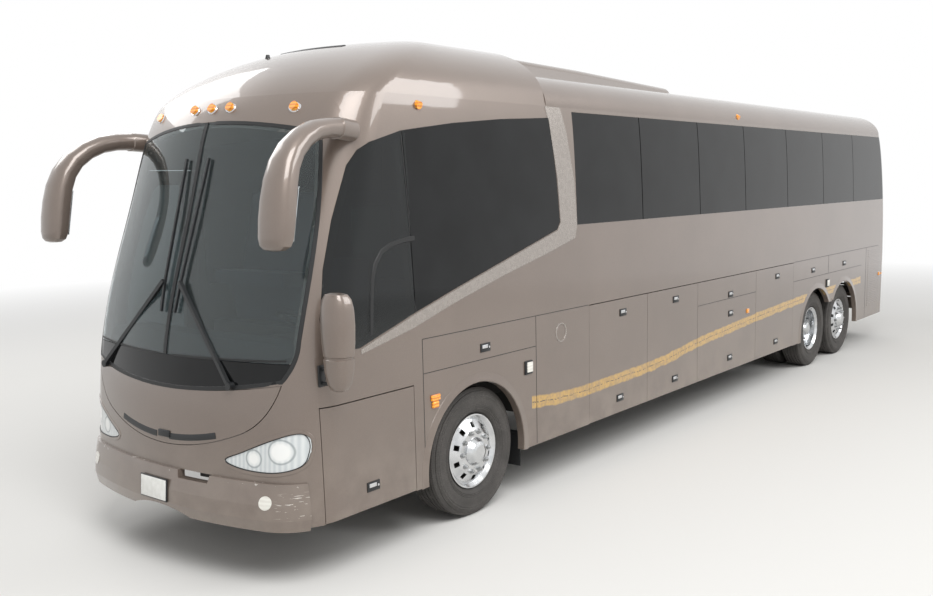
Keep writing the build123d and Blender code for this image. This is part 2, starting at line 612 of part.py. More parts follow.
def build_running_gear():
    """Axles, knuckles, wheels and tyres."""
    # front beam, dropped in the middle, with kingpin eyes
    beam = block(-60, 60, -860, 860, 400, 501)
    eye = Pos(0, kingpin_y, tyre_radius) * Cylinder(60, 130)
    arm = block(-60, 60, 800, kingpin_y, 420, 500)
    riser = block(-55, 55, 830, kingpin_y - 20, 440, 600)
    left_end = (eye + arm + riser) - Pos(0, kingpin_y, tyre_radius) * Cylinder(30.3, 400)
    left_end = left_end - block(-200, 200, kingpin_y - 75, kingpin_y + 200, 0, tyre_radius - 65)
    left_end = left_end - block(-200, 200, kingpin_y - 75, kingpin_y + 200, tyre_radius + 65, 900)
    beam = beam - block(-200, 200, kingpin_y - 75, 2000, 0, tyre_radius - 65)
    perch_height = rail_z - seat_gap - 500
    perch = Pos(0, rail_y + rail_width / 2, 500 + perch_height / 2) * Cylinder(95, perch_height)
    beam = beam + left_end + mirror_y(left_end) + perch + mirror_y(perch)
    add("front_axle", beam)

    pin = Pos(0, kingpin_y, tyre_radius) * Cylinder(30, 260)
    hub_back = wheel_face_y - single_dish - hub_depth - seat_gap
    fork = (Pos(0, kingpin_y, tyre_radius + 100) * Cylinder(55, 60)
            + Pos(0, kingpin_y, tyre_radius - 100) * Cylinder(55, 60)
            + block(-50, 50, kingpin_y, kingpin_y + 100, tyre_radius - 130, tyre_radius + 130))
    stub_length = hub_back - kingpin_y - 80
    stub = Pos(0, hub_back - stub_length / 2, tyre_radius) * Rot(90, 0, 0) * Cylinder(50, stub_length)
    drum = Pos(0, kingpin_y + 105, tyre_radius) * Rot(90, 0, 0) * Cylinder(200, 50)
    knuckle = (fork + stub + drum) - Pos(0, kingpin_y, tyre_radius) * Cylinder(66, 139)
    knuckle = knuckle + pin
    add("knuckle_left", knuckle)
    add("knuckle_right", mirror_y(knuckle))

    for name, x in (("front", axle_x(0)), ("tag", axle_x(2))):
        wheel = rim(x, wheel_face_y, single_dish, 60)
        tyre_piece = tyre(x, wheel_face_y)
        add(f"wheel_{name}_left", wheel)
        add(f"wheel_{name}_right", mirror_y(wheel))
        add(f"tyre_{name}_left", tyre_piece)
        add(f"tyre_{name}_right", mirror_y(tyre_piece))

    # twin wheels: the inner barrel is carried by a spacer behind the outer disc
    x = axle_x(1)
    inner_face = wheel_face_y - dual_spacing
    inner_back = inner_face - tyre_width
    disc_back = wheel_face_y - dual_dish - 21
    inner = revolve_wheel([(inner_face - 32, 310), (inner_face - 60, bead_radius),
                           (inner_back + 60, bead_radius), (inner_back + 32, 310),
                           (inner_back + 32, 262), (inner_face - 32, 262)], x, tyre_radius)
    spacer = revolve_wheel([(inner_face - 90, 266), (inner_face - 90, hub_radius),
                            (disc_back, hub_radius), (disc_back, 190), (inner_face - 50, 266)],
                           x, tyre_radius)
    pair = rim(x, wheel_face_y, dual_dish, 90) + inner + spacer
    add("wheel_drive_left", pair)
    add("wheel_drive_right", mirror_y(pair))
    tyres = [tyre(x, wheel_face_y), tyre(x, inner_face)]
    add("tyre_drive_left", *tyres)
    add("tyre_drive_right", *[mirror_y(t) for t in tyres])

    # drive axle with its housing, tag beam, air springs up to the rails
    spring_y = rail_y + rail_width / 2
    spring_height = rail_z - seat_gap - tyre_radius
    spring_z = tyre_radius + spring_height / 2
    hub_back = wheel_face_y - dual_dish - hub_depth - seat_gap
    drive = (Pos(x, 0, tyre_radius) * Rot(90, 0, 0) * Cylinder(85, 2 * hub_back)
             + Pos(x, 0, tyre_radius) * Sphere(225))
    bearing = block(x - 200, x + 200, inner_face - 190, hub_back, 300, 800)
    bearing = bearing & (Pos(x, 0, tyre_radius) * Rot(90, 0, 0)
                         * Cylinder(hub_radius - seat_gap, 2 * hub_back))
    spring = Pos(x + 120, spring_y, spring_z) * Cylinder(110, spring_height)
    add("drive_axle", drive + bearing + mirror_y(bearing) + spring + mirror_y(spring))
    tag_x = axle_x(2)
    hub_back = wheel_face_y - single_dish - hub_depth - seat_gap
    spring = Pos(tag_x - 80, spring_y, spring_z) * Cylinder(105, spring_height)
    tag = Pos(tag_x, 0, tyre_radius) * Rot(90, 0, 0) * Cylinder(80, 2 * hub_back)
    add("tag_axle", tag + spring + mirror_y(spring))


def build_fittings():
    """Mirrors, wipers, lamps and what shows through the windscreen."""
    # upper mirrors hang from arms that spring from the roof corner
    outside = envelope(-seat_gap)
    route = [Vector(1200, 1175, 3120), Vector(1480, 1215, 3150), Vector(1740, 1255, 3095),
             Vector(1960, 1290, 2960), Vector(2060, 1305, 2790)]
    path = FilletPolyline(*route, radius=120)
    section = Plane(origin=route[0], z_dir=route[1] - route[0]) * RectangleRounded(130, 160, 50)
    arm = sweep(section, path=path) - outside
    head = Pos(2085, 1310, 2630) * Rot(0, 8, 0) * mirror_head(150, 270, 600)
    upper = max((arm + head).solids(), key=lambda s: s.volume)
    add("upper_mirrors", upper, mirror_y(upper))

    # the nearside front mirror: two housings on one bracket
    tall = Pos(1745, 1440, 1830) * mirror_head(170, 230, 440)
    small = Pos(1745, 1440, 1490) * mirror_head(160, 210, 220)
    bracket = block(1720, 1770, 1200, 1420, 1500, 1540) + block(1720, 1770, 1380, 1420, 1400, 1800)
    low = (tall + small + bracket) - outside
    add("lower_mirror", max(low.solids(), key=lambda s: s.volume))

    # wipers: pivot, arm and upright blade, one each side of the centre bar
    wipers = []
    for side, pivot_y in ((1, 690), (-1, -890)):
        pivot = Vector(nose_x(pivot_y, 1392), pivot_y, 1392)
        elbow = Vector(nose_x(side * 95, 2080) + 42, side * 95, 2080)
        boss = Pos(pivot.X + 8, pivot_y, 1392) * Rot(0, 90, 0) * Cylinder(28, 70)
        lift = Vector(pivot.X + 30, pivot_y, 1392)
        arm = bar_between(lift, elbow, 14)
        foot = Vector(nose_x(side * 80, 1860) + 26, side * 80, 1860)
        tip = Vector(nose_x(side * 130, 2960) + 26, side * 130, 2960)
        knee = elbow - Vector(12, 0, 0)
        blade = bar_between(foot, knee, 9) + bar_between(knee, tip, 9)
        wipers.append((boss + arm + blade) - outside)
    add("wipers", *[max(w.solids(), key=lambda s: s.volume) for w in wipers])

    # amber marker lamps on the brow, roof edge and sides: station, side offset, height, radius
    lamps = []
    for y, z in ((-785, 3297), (-213, 3321), (0, 3323), (201, 3322), (781, 3299)):
        lamp = Pos(nose_x(y, z), y, z) * Rot(0, 60, 0) * Cylinder(34, 60)
        lamps.append(lamp - outside)
    side_lamps = [Pos(627, 1222, 3330) * Rot(70, 0, 0) * Cylinder(30, 60) - outside]
    roof = roof_block(REAR_ROOF_SECTIONS, -seat_gap, -1)
    side_lamps.append(Pos(-5248, 1200, 3470) * Rot(60, 0, 0) * Cylinder(30, 60) - roof)
    for x, z in ((589, 1091), (-5441, 1096), (-11100, 1100)):
        side_lamps.append(Pos(x, 1295, z) * Box(60, 16, 34) - outside)
    for lamp in side_lamps:
        lamps += [lamp, mirror_y(lamp)]
    add("marker_lamps", *[max(lamp.solids(), key=lambda s: s.volume) for lamp in lamps])

    # dashboard, steering wheel, seats
    dash = side_prism([(1380, 1180), (1380, 1560), (1480, 1640), (1700, 1640), (2050, 1500),
                       (2050, 1180)], -1150, 1150)
    dash = dash & envelope(wall + seat_gap)
    add("dashboard", dash)
    wheel_centre = Vector(1270, 640, 1740)
    tilt = Rot(0, -25, 0)
    rim_piece = Pos(wheel_centre) * tilt * (Cylinder(240, 30) - Cylinder(208, 40))
    spokes = Pos(wheel_centre) * tilt * (Box(24, 440, 18) + Box(440, 24, 18) + Cylinder(60, 40))
    column = bar_between(wheel_centre, Vector(1420, 640, 1450), 34)
    add("steering_wheel", (rim_piece + spokes + column) - dash)
    back_x = platform_rear_x + 60
    driver = side_prism([(back_x + 60, platform_z), (back_x + 300, platform_z),
                         (back_x + 300, platform_z + 330), (back_x + 480, platform_z + 350),
                         (back_x + 480, platform_z + 470), (back_x + 150, platform_z + 450),
                         (back_x + 90, platform_z + 1180), (back_x, platform_z + 1180),
                         (back_x + 10, platform_z + 420)], 400, 880)
    add("driver_seat", driver)
    rows = []
    pitch = 830.0
    for i in range(13):
        x = 420 - i * pitch
        profile = [(x - 20, floor_z), (x + 60, floor_z), (x + 120, floor_z + 330),
                   (x + 300, floor_z + 340), (x + 300, floor_z + 460), (x - 30, floor_z + 440),
                   (x - 190, floor_z + 1130), (x - 290, floor_z + 1130), (x - 150, floor_z + 340)]
        seat = side_prism(profile, 240, 1170)
        rows += [seat, mirror_y(seat)]
    add("passenger_seats", *rows)


def mirror_head(depth, width, height):
    """A mirror housing: rounded in plan, bevelled above and below."""
    body = extrude(RectangleRounded(depth, width, 0.42 * depth), amount=height / 2, both=True)
    ends = body.faces().sort_by(Axis.Z)
    return chamfer((ends[0].edges() + ends[-1].edges()), 0.2 * depth)


def bar_between(a, b, half):
    """A square bar from a to b."""
    run = b - a
    place = Plane(origin=a, z_dir=run)
    return place * Pos(0, 0, run.length / 2) * Box(2 * half, 2 * half, run.length)


build_shell()
build_roof()
build_bumpers()
build_underframe()
build_running_gear()
build_fittings()

os.makedirs("parts", exist_ok=True)
place = Pos(front_axle_x, 0, 0)
for name, pieces in PARTS.items():
    shape = place * (pieces[0] if len(pieces) == 1 else Compound(children=pieces))
    export_step(shape, f"parts/{name}.step", write_pcurves=False)
print(len(PARTS), "nodes,", sum(len(p) for p in PARTS.values()), "solids")
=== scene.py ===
# %% [markdown]
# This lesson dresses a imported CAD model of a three-axle touring coach. The CAD pieces already
# stand at their real size, so nothing here moves them: each one gets a finish, and the small
# things that a CAD model leaves out, such as wheel nuts, latches and tyre tread, are added.

# %% Load the frame
import math

import bmesh
import bpy
from mathutils import Matrix, Vector
from mathutils.bvhtree import BVHTree


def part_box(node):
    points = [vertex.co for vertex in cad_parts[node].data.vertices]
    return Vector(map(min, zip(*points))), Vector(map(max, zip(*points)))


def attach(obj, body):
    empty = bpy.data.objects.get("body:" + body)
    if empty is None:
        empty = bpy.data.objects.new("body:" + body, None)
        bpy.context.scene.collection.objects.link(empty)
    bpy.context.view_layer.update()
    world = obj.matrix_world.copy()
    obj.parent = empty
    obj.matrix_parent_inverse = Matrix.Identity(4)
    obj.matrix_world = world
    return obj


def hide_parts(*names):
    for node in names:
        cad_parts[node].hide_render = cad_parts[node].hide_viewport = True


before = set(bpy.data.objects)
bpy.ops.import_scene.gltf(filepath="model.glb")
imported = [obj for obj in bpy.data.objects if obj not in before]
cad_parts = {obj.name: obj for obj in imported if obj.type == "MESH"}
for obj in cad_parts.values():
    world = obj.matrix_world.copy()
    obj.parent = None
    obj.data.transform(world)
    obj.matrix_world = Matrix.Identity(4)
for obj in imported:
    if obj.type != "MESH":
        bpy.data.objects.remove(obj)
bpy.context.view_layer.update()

# %% [markdown]
# Everything below is placed by three readings from the frame: where the axles are, how big the
# wheels are and how wide the body is. Lengths are metres, X runs forward, Y to the left, Z up.

# %% Read the driving dimensions
def middle(node_name):
    low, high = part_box(node_name)
    return (low + high) / 2


FRONT_AXLE = middle("tyre_front_left").x
DRIVE_AXLE = middle("tyre_drive_left").x
TAG_AXLE = middle("tyre_tag_left").x
WHEEL_R = middle("tyre_front_left").z
TYRE_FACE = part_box("tyre_front_left")[1].y
BODY_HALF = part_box("luggage_door_left_2")[1].y
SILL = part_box("side_wall_left")[0].z
WAIST = 1.585
print("axles at", [round(v, 3) for v in (FRONT_AXLE, DRIVE_AXLE, TAG_AXLE)])


# %% [markdown]
# Colours are written as the sRGB hex values a paint card would give. Blender mixes light in
# linear values, so one function turns them. One more adds a shader node with its settings and
# links, which keeps every material below down to a few readable lines.

# %% Colour and node helpers
def linear(hex_colour):
    values = [int(hex_colour[i:i + 2], 16) / 255 for i in (1, 3, 5)]
    return [v / 12.92 if v <= 0.04045 else ((v + 0.055) / 1.055) ** 2.4 for v in values] + [1.0]


def add(tree, kind, inputs=None, **settings):
    """Adds a node; a value in inputs is a number, a colour or another node's output."""
    made = tree.nodes.new(kind)
    for key, value in settings.items():
        setattr(made, key, value)
    for key, value in (inputs or {}).items():
        if isinstance(value, bpy.types.NodeSocket):
            tree.links.new(value, made.inputs[key])
        else:
            made.inputs[key].default_value = value
    return made


def start(name, **fixed):
    """A material with its Principled shader's fixed values set, and object coordinates."""
    made = bpy.data.materials.new(name)
    made.use_nodes = True
    tree = made.node_tree
    shader = tree.nodes["Principled BSDF"]
    for key, value in fixed.items():
        shader.inputs[key.replace("_", " ")].default_value = value
    place = add(tree, "ShaderNodeTexCoord").outputs["Object"]
    return made, tree, shader, place


def maths(tree, operation, a, b=0.0):
    return add(tree, "ShaderNodeMath", {0: a, 1: b}, operation=operation).outputs[0]


def ramp_between(tree, value, low, high, out_low=0.0, out_high=1.0):
    return add(tree, "ShaderNodeMapRange", {"Value": value, "From Min": low, "From Max": high,
                                            "To Min": out_low, "To Max": out_high}).outputs[0]


def mixed(tree, share, a, b):
    return add(tree, "ShaderNodeMix", {0: share, 6: a, 7: b}, data_type="RGBA").outputs[2]


# %% [markdown]
# The coach wears metallic paint: aluminium flake in a brown-grey base under clear lacquer. Flake
# makes the colour lighter where it faces the light, and lacquer gives the sharp reflections.
# Real flake is about 0.05 mm, too fine to see here, so it is drawn at 4 mm. Road film dulls the
# skirt, and a painted reflection of a yellow road line, with a dark dotted centre line, runs back along
# the luggage doors.

# %% Metallic paint
TAUPE = linear("#7A6D64")
ROAD_FILM = linear("#9C9186")
# Yellow of the painted reflection of a road line on the sides.
REFLECTED_ROAD_LINE_YELLOW = linear("#DDB054")
FLAKE_SIZE = 0.004
# Path, width and ends of the painted reflection of a yellow road line on the sides.
ROAD_LINE_REFLECTION_PATH = [(-5.40, 1.085), (-2.65, 1.044), (-1.12, 0.987), (-0.20, 0.939), (0.62, 0.896),
          (1.28, 0.825), (1.80, 0.798), (2.94, 0.777), (3.46, 0.787), (3.90, 0.828)]
ROAD_LINE_REFLECTION_HALF = 0.060
ROAD_LINE_REFLECTION_ENDS = (-5.38, 3.90)
REFLECTED_CENTRE_LINE_HALF = 0.005
ROAD_LINE_REFLECTION_TOP = 1.2
SIDE_DEPTH = 0.03


def road_line_reflection_mask(tree, place):
    """How much of the painted reflection of a yellow road line lies at a place, and how much of its dark
    centre line.
    """
    x, y, z = add(tree, "ShaderNodeSeparateXYZ", {0: place}).outputs
    first, last = ROAD_LINE_REFLECTION_PATH[0][0], ROAD_LINE_REFLECTION_PATH[-1][0]
    along = ramp_between(tree, x, first, last)
    route = add(tree, "ShaderNodeValToRGB", {0: along})
    steps = route.color_ramp.elements
    for at, _ in ROAD_LINE_REFLECTION_PATH[1:-1]:
        steps.new((at - first) / (last - first))
    for step, (_, height) in zip(steps, ROAD_LINE_REFLECTION_PATH):
        step.color = [height / ROAD_LINE_REFLECTION_TOP] * 3 + [1.0]
    wave = add(tree, "ShaderNodeTexNoise", {"Vector": place, "Scale": 7.0, "Detail": 4.0}).outputs[0]
    wave = ramp_between(tree, wave, 0.3, 0.7, -0.009, 0.009)
    centre = maths(tree, "MULTIPLY", route.outputs[0], ROAD_LINE_REFLECTION_TOP)
    away = maths(tree, "ABSOLUTE", maths(tree, "SUBTRACT", maths(tree, "ADD", z, wave), centre))
    side = maths(tree, "GREATER_THAN", maths(tree, "ABSOLUTE", y), BODY_HALF - SIDE_DEPTH)
    within = maths(tree, "MULTIPLY", maths(tree, "GREATER_THAN", x, ROAD_LINE_REFLECTION_ENDS[0]),
                   maths(tree, "LESS_THAN", x, ROAD_LINE_REFLECTION_ENDS[1]))
    side = maths(tree, "MULTIPLY", side, within)
    # Patchy breaks in the painted reflection.
    reflection_breaks = add(tree, "ShaderNodeTexNoise", {"Vector": place, "Scale": 26.0, "Detail": 5.0}).outputs[0]
    painted_reflection = ramp_between(tree, away, ROAD_LINE_REFLECTION_HALF, ROAD_LINE_REFLECTION_HALF - 0.014)
    painted_reflection = maths(tree, "MULTIPLY", painted_reflection, ramp_between(tree, reflection_breaks, 0.35, 0.6, 0.62, 1.0))
    painted_reflection = maths(tree, "MULTIPLY", painted_reflection, side)
    dots = add(tree, "ShaderNodeTexNoise", {"Vector": place, "Scale": 60.0}).outputs[0]
    reflected_centre_line = maths(tree, "MULTIPLY", maths(tree, "LESS_THAN", away, REFLECTED_CENTRE_LINE_HALF),
                 maths(tree, "GREATER_THAN", dots, 0.50))
    return painted_reflection, reflected_centre_line


def metallic_paint(name, base, road_line_reflection=False, scuffs=False):
    made, tree, shader, place = start(name, Metallic=0.35, IOR=1.5, Coat_Weight=1.0,
                                      Coat_Roughness=0.04, Coat_IOR=1.5)
    flake = add(tree, "ShaderNodeTexNoise", {"Vector": place, "Scale": 1 / FLAKE_SIZE}).outputs[0]
    sheen = add(tree, "ShaderNodeTexNoise", {"Vector": place, "Scale": 1.3, "Detail": 4.0}).outputs[0]
    light = ramp_between(tree, flake, 0.25, 0.75, 0.92, 1.08)
    light = maths(tree, "MULTIPLY", light, ramp_between(tree, sheen, 0.3, 0.7, 0.95, 1.05))
    colour = add(tree, "ShaderNodeHueSaturation", {"Color": base, "Value": light}).outputs[0]
    if road_line_reflection:
        # Painted reflection of a yellow road line, with a dark dotted centre line, mixed into the colour.
        painted_reflection, reflected_centre_line = road_line_reflection_mask(tree, place)
        colour = mixed(tree, maths(tree, "MULTIPLY", painted_reflection, 0.80), colour, REFLECTED_ROAD_LINE_YELLOW)
        colour = mixed(tree, maths(tree, "MULTIPLY", reflected_centre_line, painted_reflection), colour, linear("#4F463D"))
    height = add(tree, "ShaderNodeSeparateXYZ", {0: place}).outputs[2]
    blotch = add(tree, "ShaderNodeTexNoise", {"Vector": place, "Scale": 5.0, "Detail": 6.0}).outputs[0]
    film = maths(tree, "MULTIPLY", ramp_between(tree, height, 1.05, SILL, 0.0, 0.45),
                 ramp_between(tree, blotch, 0.35, 0.65))
    colour = mixed(tree, film, colour, ROAD_FILM)
    rough = ramp_between(tree, film, 0.0, 0.45, 0.34, 0.55)
    if scuffs:
        colour, rough = scuffed(tree, place, colour, rough)
    tree.links.new(colour, shader.inputs["Base Color"])
    tree.links.new(rough, shader.inputs["Roughness"])
    return made


# %% [markdown]
# The front bumper has been scraped: chalky streaks on the driver's corner and chips along its
# top edge. Stretched noise, cut off at a threshold, gives streaks; a height band keeps the chips
# to the edge where a kerb or wall would catch.

# %% Bumper scuffs
STREAK_CUT, CHIP_CUT = 0.605, 0.665


def scuffed(tree, place, colour, rough):
    _, y, z = add(tree, "ShaderNodeSeparateXYZ", {0: place}).outputs
    smear = add(tree, "ShaderNodeMapping", {"Vector": place, "Scale": (4.0, 4.0, 34.0),
                                            "Rotation": (0.25, 0.0, 0.0)}).outputs[0]
    streak = add(tree, "ShaderNodeTexNoise", {"Vector": smear, "Scale": 2.6, "Detail": 5.0}).outputs[0]
    corner = maths(tree, "MULTIPLY", ramp_between(tree, y, 1.07, 1.15),
                   ramp_between(tree, maths(tree, "ABSOLUTE", maths(tree, "SUBTRACT", z, 0.60)),
                                0.10, 0.04))
    scrape = maths(tree, "MULTIPLY", maths(tree, "GREATER_THAN", streak, STREAK_CUT), corner)
    chip = add(tree, "ShaderNodeTexNoise", {"Vector": place, "Scale": 22.0, "Detail": 4.0}).outputs[0]
    edge = ramp_between(tree, z, 0.722, 0.744)
    chips = maths(tree, "MULTIPLY", maths(tree, "GREATER_THAN", chip, CHIP_CUT), edge)
    marks = maths(tree, "MAXIMUM", scrape, maths(tree, "MULTIPLY", chips, 0.8))
    rough = maths(tree, "MAXIMUM", rough, maths(tree, "MULTIPLY", marks, 0.7))
    return mixed(tree, marks, colour, linear("#E4DFD8")), rough


paint = metallic_paint("metallic_lacquered_steel", TAUPE)
# This paint carries the painted reflection of a yellow road line along the sides.
road_line_reflection_paint = metallic_paint("metallic_lacquered_steel_road_line_reflection", TAUPE, road_line_reflection=True)
bumper_paint = metallic_paint("metallic_lacquered_bumper", TAUPE, scuffs=True)
print("paints made")


# %% [markdown]
# Small parts share a pattern: a base colour that varies a little over a real distance, and a
# roughness that follows it. Each call below starts from what the real material is, such as
# moulded ABS or vulcanised rubber, with the grain it really has.

# %% Plain materials with a grain
def grained(name, hex_low, hex_high, grain_mm, rough_low, rough_high, **fixed):
    """Mottled between two colours; grain_mm is the size of the mottling."""
    made, tree, shader, place = start(name, **fixed)
    grain = add(tree, "ShaderNodeTexNoise", {"Vector": place, "Scale": 1000 / grain_mm,
                                             "Detail": 4.0}).outputs[0]
    share = ramp_between(tree, grain, 0.35, 0.65)
    tree.links.new(mixed(tree, share, linear(hex_low), linear(hex_high)), shader.inputs["Base Color"])
    tree.links.new(ramp_between(tree, share, 0.0, 1.0, rough_low, rough_high),
                   shader.inputs["Roughness"])
    return made


silver = grained("brushed_anodised_aluminium", "#A39C96", "#A9A29C", 40, 0.24, 0.30, Metallic=0.7)
rubber = grained("epdm_rubber_seal", "#151617", "#1F2021", 12, 0.45, 0.6)
underseal = grained("bitumen_underseal", "#252423", "#35322F", 60, 0.6, 0.85)
cast_iron = grained("cast_iron_road_grime", "#33302D", "#4A443D", 25, 0.6, 0.8, Metallic=0.3)
polished = grained("polished_forged_aluminium", "#C9CBCD", "#DDDEDF", 90, 0.16, 0.26, Metallic=1.0)
zinc = grained("zinc_plated_nut", "#A7A8A9", "#C3C4C4", 8, 0.3, 0.42, Metallic=1.0)
black_plastic = grained("moulded_black_abs", "#17181A", "#232527", 6, 0.35, 0.5)
cab_plastic = grained("soft_touch_dash_vinyl", "#3F4042", "#4C4D50", 5, 0.55, 0.7)
moquette = grained("wool_moquette", "#34394A", "#4D5468", 8, 0.8, 0.95, Sheen_Weight=0.4)
vinyl_floor = grained("wood_effect_vinyl_floor", "#4B463F", "#5C564D", 20, 0.5, 0.65)
plate_white = grained("blank_plate_enamel", "#E9E9E4", "#F4F4F0", 40, 0.3, 0.4)
mirror_glass = grained("silvered_mirror_glass", "#C8CED2", "#D3D9DC", 200, 0.02, 0.03, Metallic=1.0)
blind_cloth = grained("pleated_blind_cloth", "#AEBBB2", "#BFCBC2", 10, 0.8, 0.9)
chrome = grained("chromed_zinc", "#D2D4D6", "#DEDFE0", 50, 0.08, 0.14, Metallic=1.0)


# %% [markdown]
# Tyre rubber is never plain black: carbon black fades to grey and road dust settles in the ribs.
# The dust lies in fine specks gathered in broad patches, and rings of moulding lines are real geometry.

# %% Tyre rubber
def tyre_material():
    made, tree, shader, place = start("weathered_tyre_rubber", Specular_IOR_Level=0.35)
    fine = add(tree, "ShaderNodeTexNoise", {"Vector": place, "Scale": 140.0, "Detail": 3.0}).outputs[0]
    broad = add(tree, "ShaderNodeTexNoise", {"Vector": place, "Scale": 7.0, "Detail": 5.0}).outputs[0]
    dust = maths(tree, "MULTIPLY", ramp_between(tree, fine, 0.3, 0.7),
                 ramp_between(tree, broad, 0.3, 0.7, 0.25, 0.8))
    tree.links.new(mixed(tree, dust, linear("#3A3836"), linear("#6B6764")), shader.inputs["Base Color"])
    tree.links.new(ramp_between(tree, dust, 0.0, 1.0, 0.62, 0.85), shader.inputs["Roughness"])
    return made


# %% [markdown]
# The side windows are heavily tinted privacy glass that reads as a black mirror. The windscreen
# and the driver's window are only lightly tinted, so the cab shows through, but their edges are
# fired black where the glue is. One material does both, with the clear part given by a box.

# %% Glass
def glass_material(name, tint, clear_tint, clear_from_x, black_below_z):
    made, tree, shader, place = start(name, IOR=1.45, Roughness=0.02, Specular_IOR_Level=0.35)
    x, y, z = add(tree, "ShaderNodeSeparateXYZ", {0: place}).outputs
    smear = add(tree, "ShaderNodeTexNoise", {"Vector": place, "Scale": 2.4, "Detail": 4.0}).outputs[0]
    clear = maths(tree, "MULTIPLY", maths(tree, "GREATER_THAN", x, clear_from_x),
                  maths(tree, "GREATER_THAN", z, black_below_z))
    film = ramp_between(tree, smear, 0.35, 0.65, 0.0, 0.10)
    dark = mixed(tree, film, linear(tint), linear("#3A3D3F"))
    tree.links.new(mixed(tree, clear, dark, linear(clear_tint)), shader.inputs["Base Color"])
    tree.links.new(maths(tree, "MULTIPLY", clear, 0.94), shader.inputs["Transmission Weight"])
    return made


side_glass = glass_material("privacy_tinted_glass", "#0C0D0E", "#485052", 5.41, 1.0)
screen_glass = glass_material("laminated_windscreen", "#0A0B0C", "#A9B6B8", 0.0, 1.560)
print("glass made")


# %% [markdown]
# Lamp lenses are moulded polycarbonate over a bright reflector. They are closed solids here, so
# colour and gloss come from the surface: fine prism ribs, drawn every 12 mm, catch the light.

# %% Lamps
def lens_material(name, deep, bright, rib_mm, glow=0.0):
    made, tree, shader, place = start(name, IOR=1.58, Roughness=0.08, Coat_Weight=1.0)
    ribs = add(tree, "ShaderNodeTexWave", {"Vector": place, "Scale": 1000 / rib_mm / 6.283,
                                           "Distortion": 1.5, "Detail": 1.0},
               bands_direction="Z").outputs[0]
    colour = mixed(tree, ribs, linear(deep), linear(bright))
    tree.links.new(colour, shader.inputs["Base Color"])
    if glow:
        tree.links.new(colour, shader.inputs["Emission Color"])
        shader.inputs["Emission Strength"].default_value = glow
    return made


clear_lens = lens_material("clear_polycarbonate_lens", "#E4E1D8", "#F0EEE6", 14)
REFLECTORS = [(1.085, 0.965, 0.082), (0.885, 0.905, 0.060)]


def headlamp_material():
    """Clear cover over two round reflectors, which show as pale discs with a dark rim."""
    made, tree, shader, place = start("clear_headlamp_cover", IOR=1.58, Roughness=0.06,
                                      Coat_Weight=1.0)
    x, y, z = add(tree, "ShaderNodeSeparateXYZ", {0: place}).outputs
    flutes = add(tree, "ShaderNodeTexWave", {"Vector": place, "Scale": 9.0, "Distortion": 0.6},
                 bands_direction="Y").outputs[0]
    colour = mixed(tree, flutes, linear("#C9CFD1"), linear("#DDE1E1"))
    for across, up, radius in REFLECTORS:
        dy = maths(tree, "SUBTRACT", maths(tree, "ABSOLUTE", y), across)
        dz = maths(tree, "SUBTRACT", z, up)
        off = maths(tree, "SQRT", maths(tree, "ADD", maths(tree, "MULTIPLY", dy, dy),
                                        maths(tree, "MULTIPLY", dz, dz)))
        colour = mixed(tree, ramp_between(tree, off, radius, radius - 0.03), colour, linear("#F7F8F6"))
        rim = maths(tree, "ABSOLUTE", maths(tree, "SUBTRACT", off, radius))
        colour = mixed(tree, ramp_between(tree, rim, 0.009, 0.003, 0.0, 0.7), colour, linear("#8D9598"))
    tree.links.new(colour, shader.inputs["Base Color"])
    return made


headlamp_cover = headlamp_material()
amber_lens = lens_material("amber_polycarbonate_lens", "#D97800", "#FFAE1E", 12, 0.1)
red_lens = lens_material("red_polycarbonate_lens", "#6E0F0E", "#B3211E", 16)
tyre_rubber = tyre_material()
print(len(bpy.data.materials), "materials so far")

# %% [markdown]
# Each CAD node now gets its finish. The names say what they are, so a short table of name
# beginnings is enough; the first that fits is used.

# %% Dress the CAD nodes
FINISHES = [
    ("tyre_", tyre_rubber), ("wheel_", polished), ("knuckle_", cast_iron), ("front_axle", cast_iron),
    ("drive_axle", cast_iron), ("tag_axle", cast_iron), ("engine_lid", paint), ("engine", cast_iron),
    ("underframe", underseal), ("windscreen_bar", rubber), ("windscreen", screen_glass),
    ("side_glass", side_glass), ("rear_window", side_glass), ("headlamps", headlamp_cover),
    ("fog_lamps", clear_lens), ("rear_lamps", red_lens), ("marker_lamps", amber_lens),
    ("silver_bands", silver), ("wipers", black_plastic), ("dashboard", cab_plastic),
    ("steering_wheel", black_plastic), ("driver_seat", moquette), ("passenger_seats", moquette),
    ("saloon_floor", vinyl_floor), ("entrance_steps", vinyl_floor), ("front_bumper", bumper_paint),
    # Luggage doors and side walls carry the painted reflection of a yellow road line.
    ("luggage_door", road_line_reflection_paint), ("side_wall", road_line_reflection_paint), ("", paint),
]
for name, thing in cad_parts.items():
    finish = next(material for prefix, material in FINISHES if name.startswith(prefix))
    thing.data.materials.clear()
    thing.data.materials.append(finish)
print("dressed", len(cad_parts), "CAD nodes")


# %% [markdown]
# New pieces are bmeshes. Each helper starts from a bmesh operator and hands the mesh back, so a
# piece is a few calls long. finish_piece turns the bmesh into an object at the origin, gives it
# its material and lets it ride on its body, so that it moves with a door or a wheel.

# %% Mesh helpers
def finish_piece(name, bm, material, body, sharp=35.0):
    mesh = bpy.data.meshes.new(name)
    bm.to_mesh(mesh)
    bm.free()
    for face in mesh.polygons:
        face.use_smooth = True
    mesh.set_sharp_from_angle(angle=math.radians(sharp))
    mesh.materials.append(material)
    made = bpy.data.objects.new(name, mesh)
    bpy.context.collection.objects.link(made)
    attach(made, body)
    return made


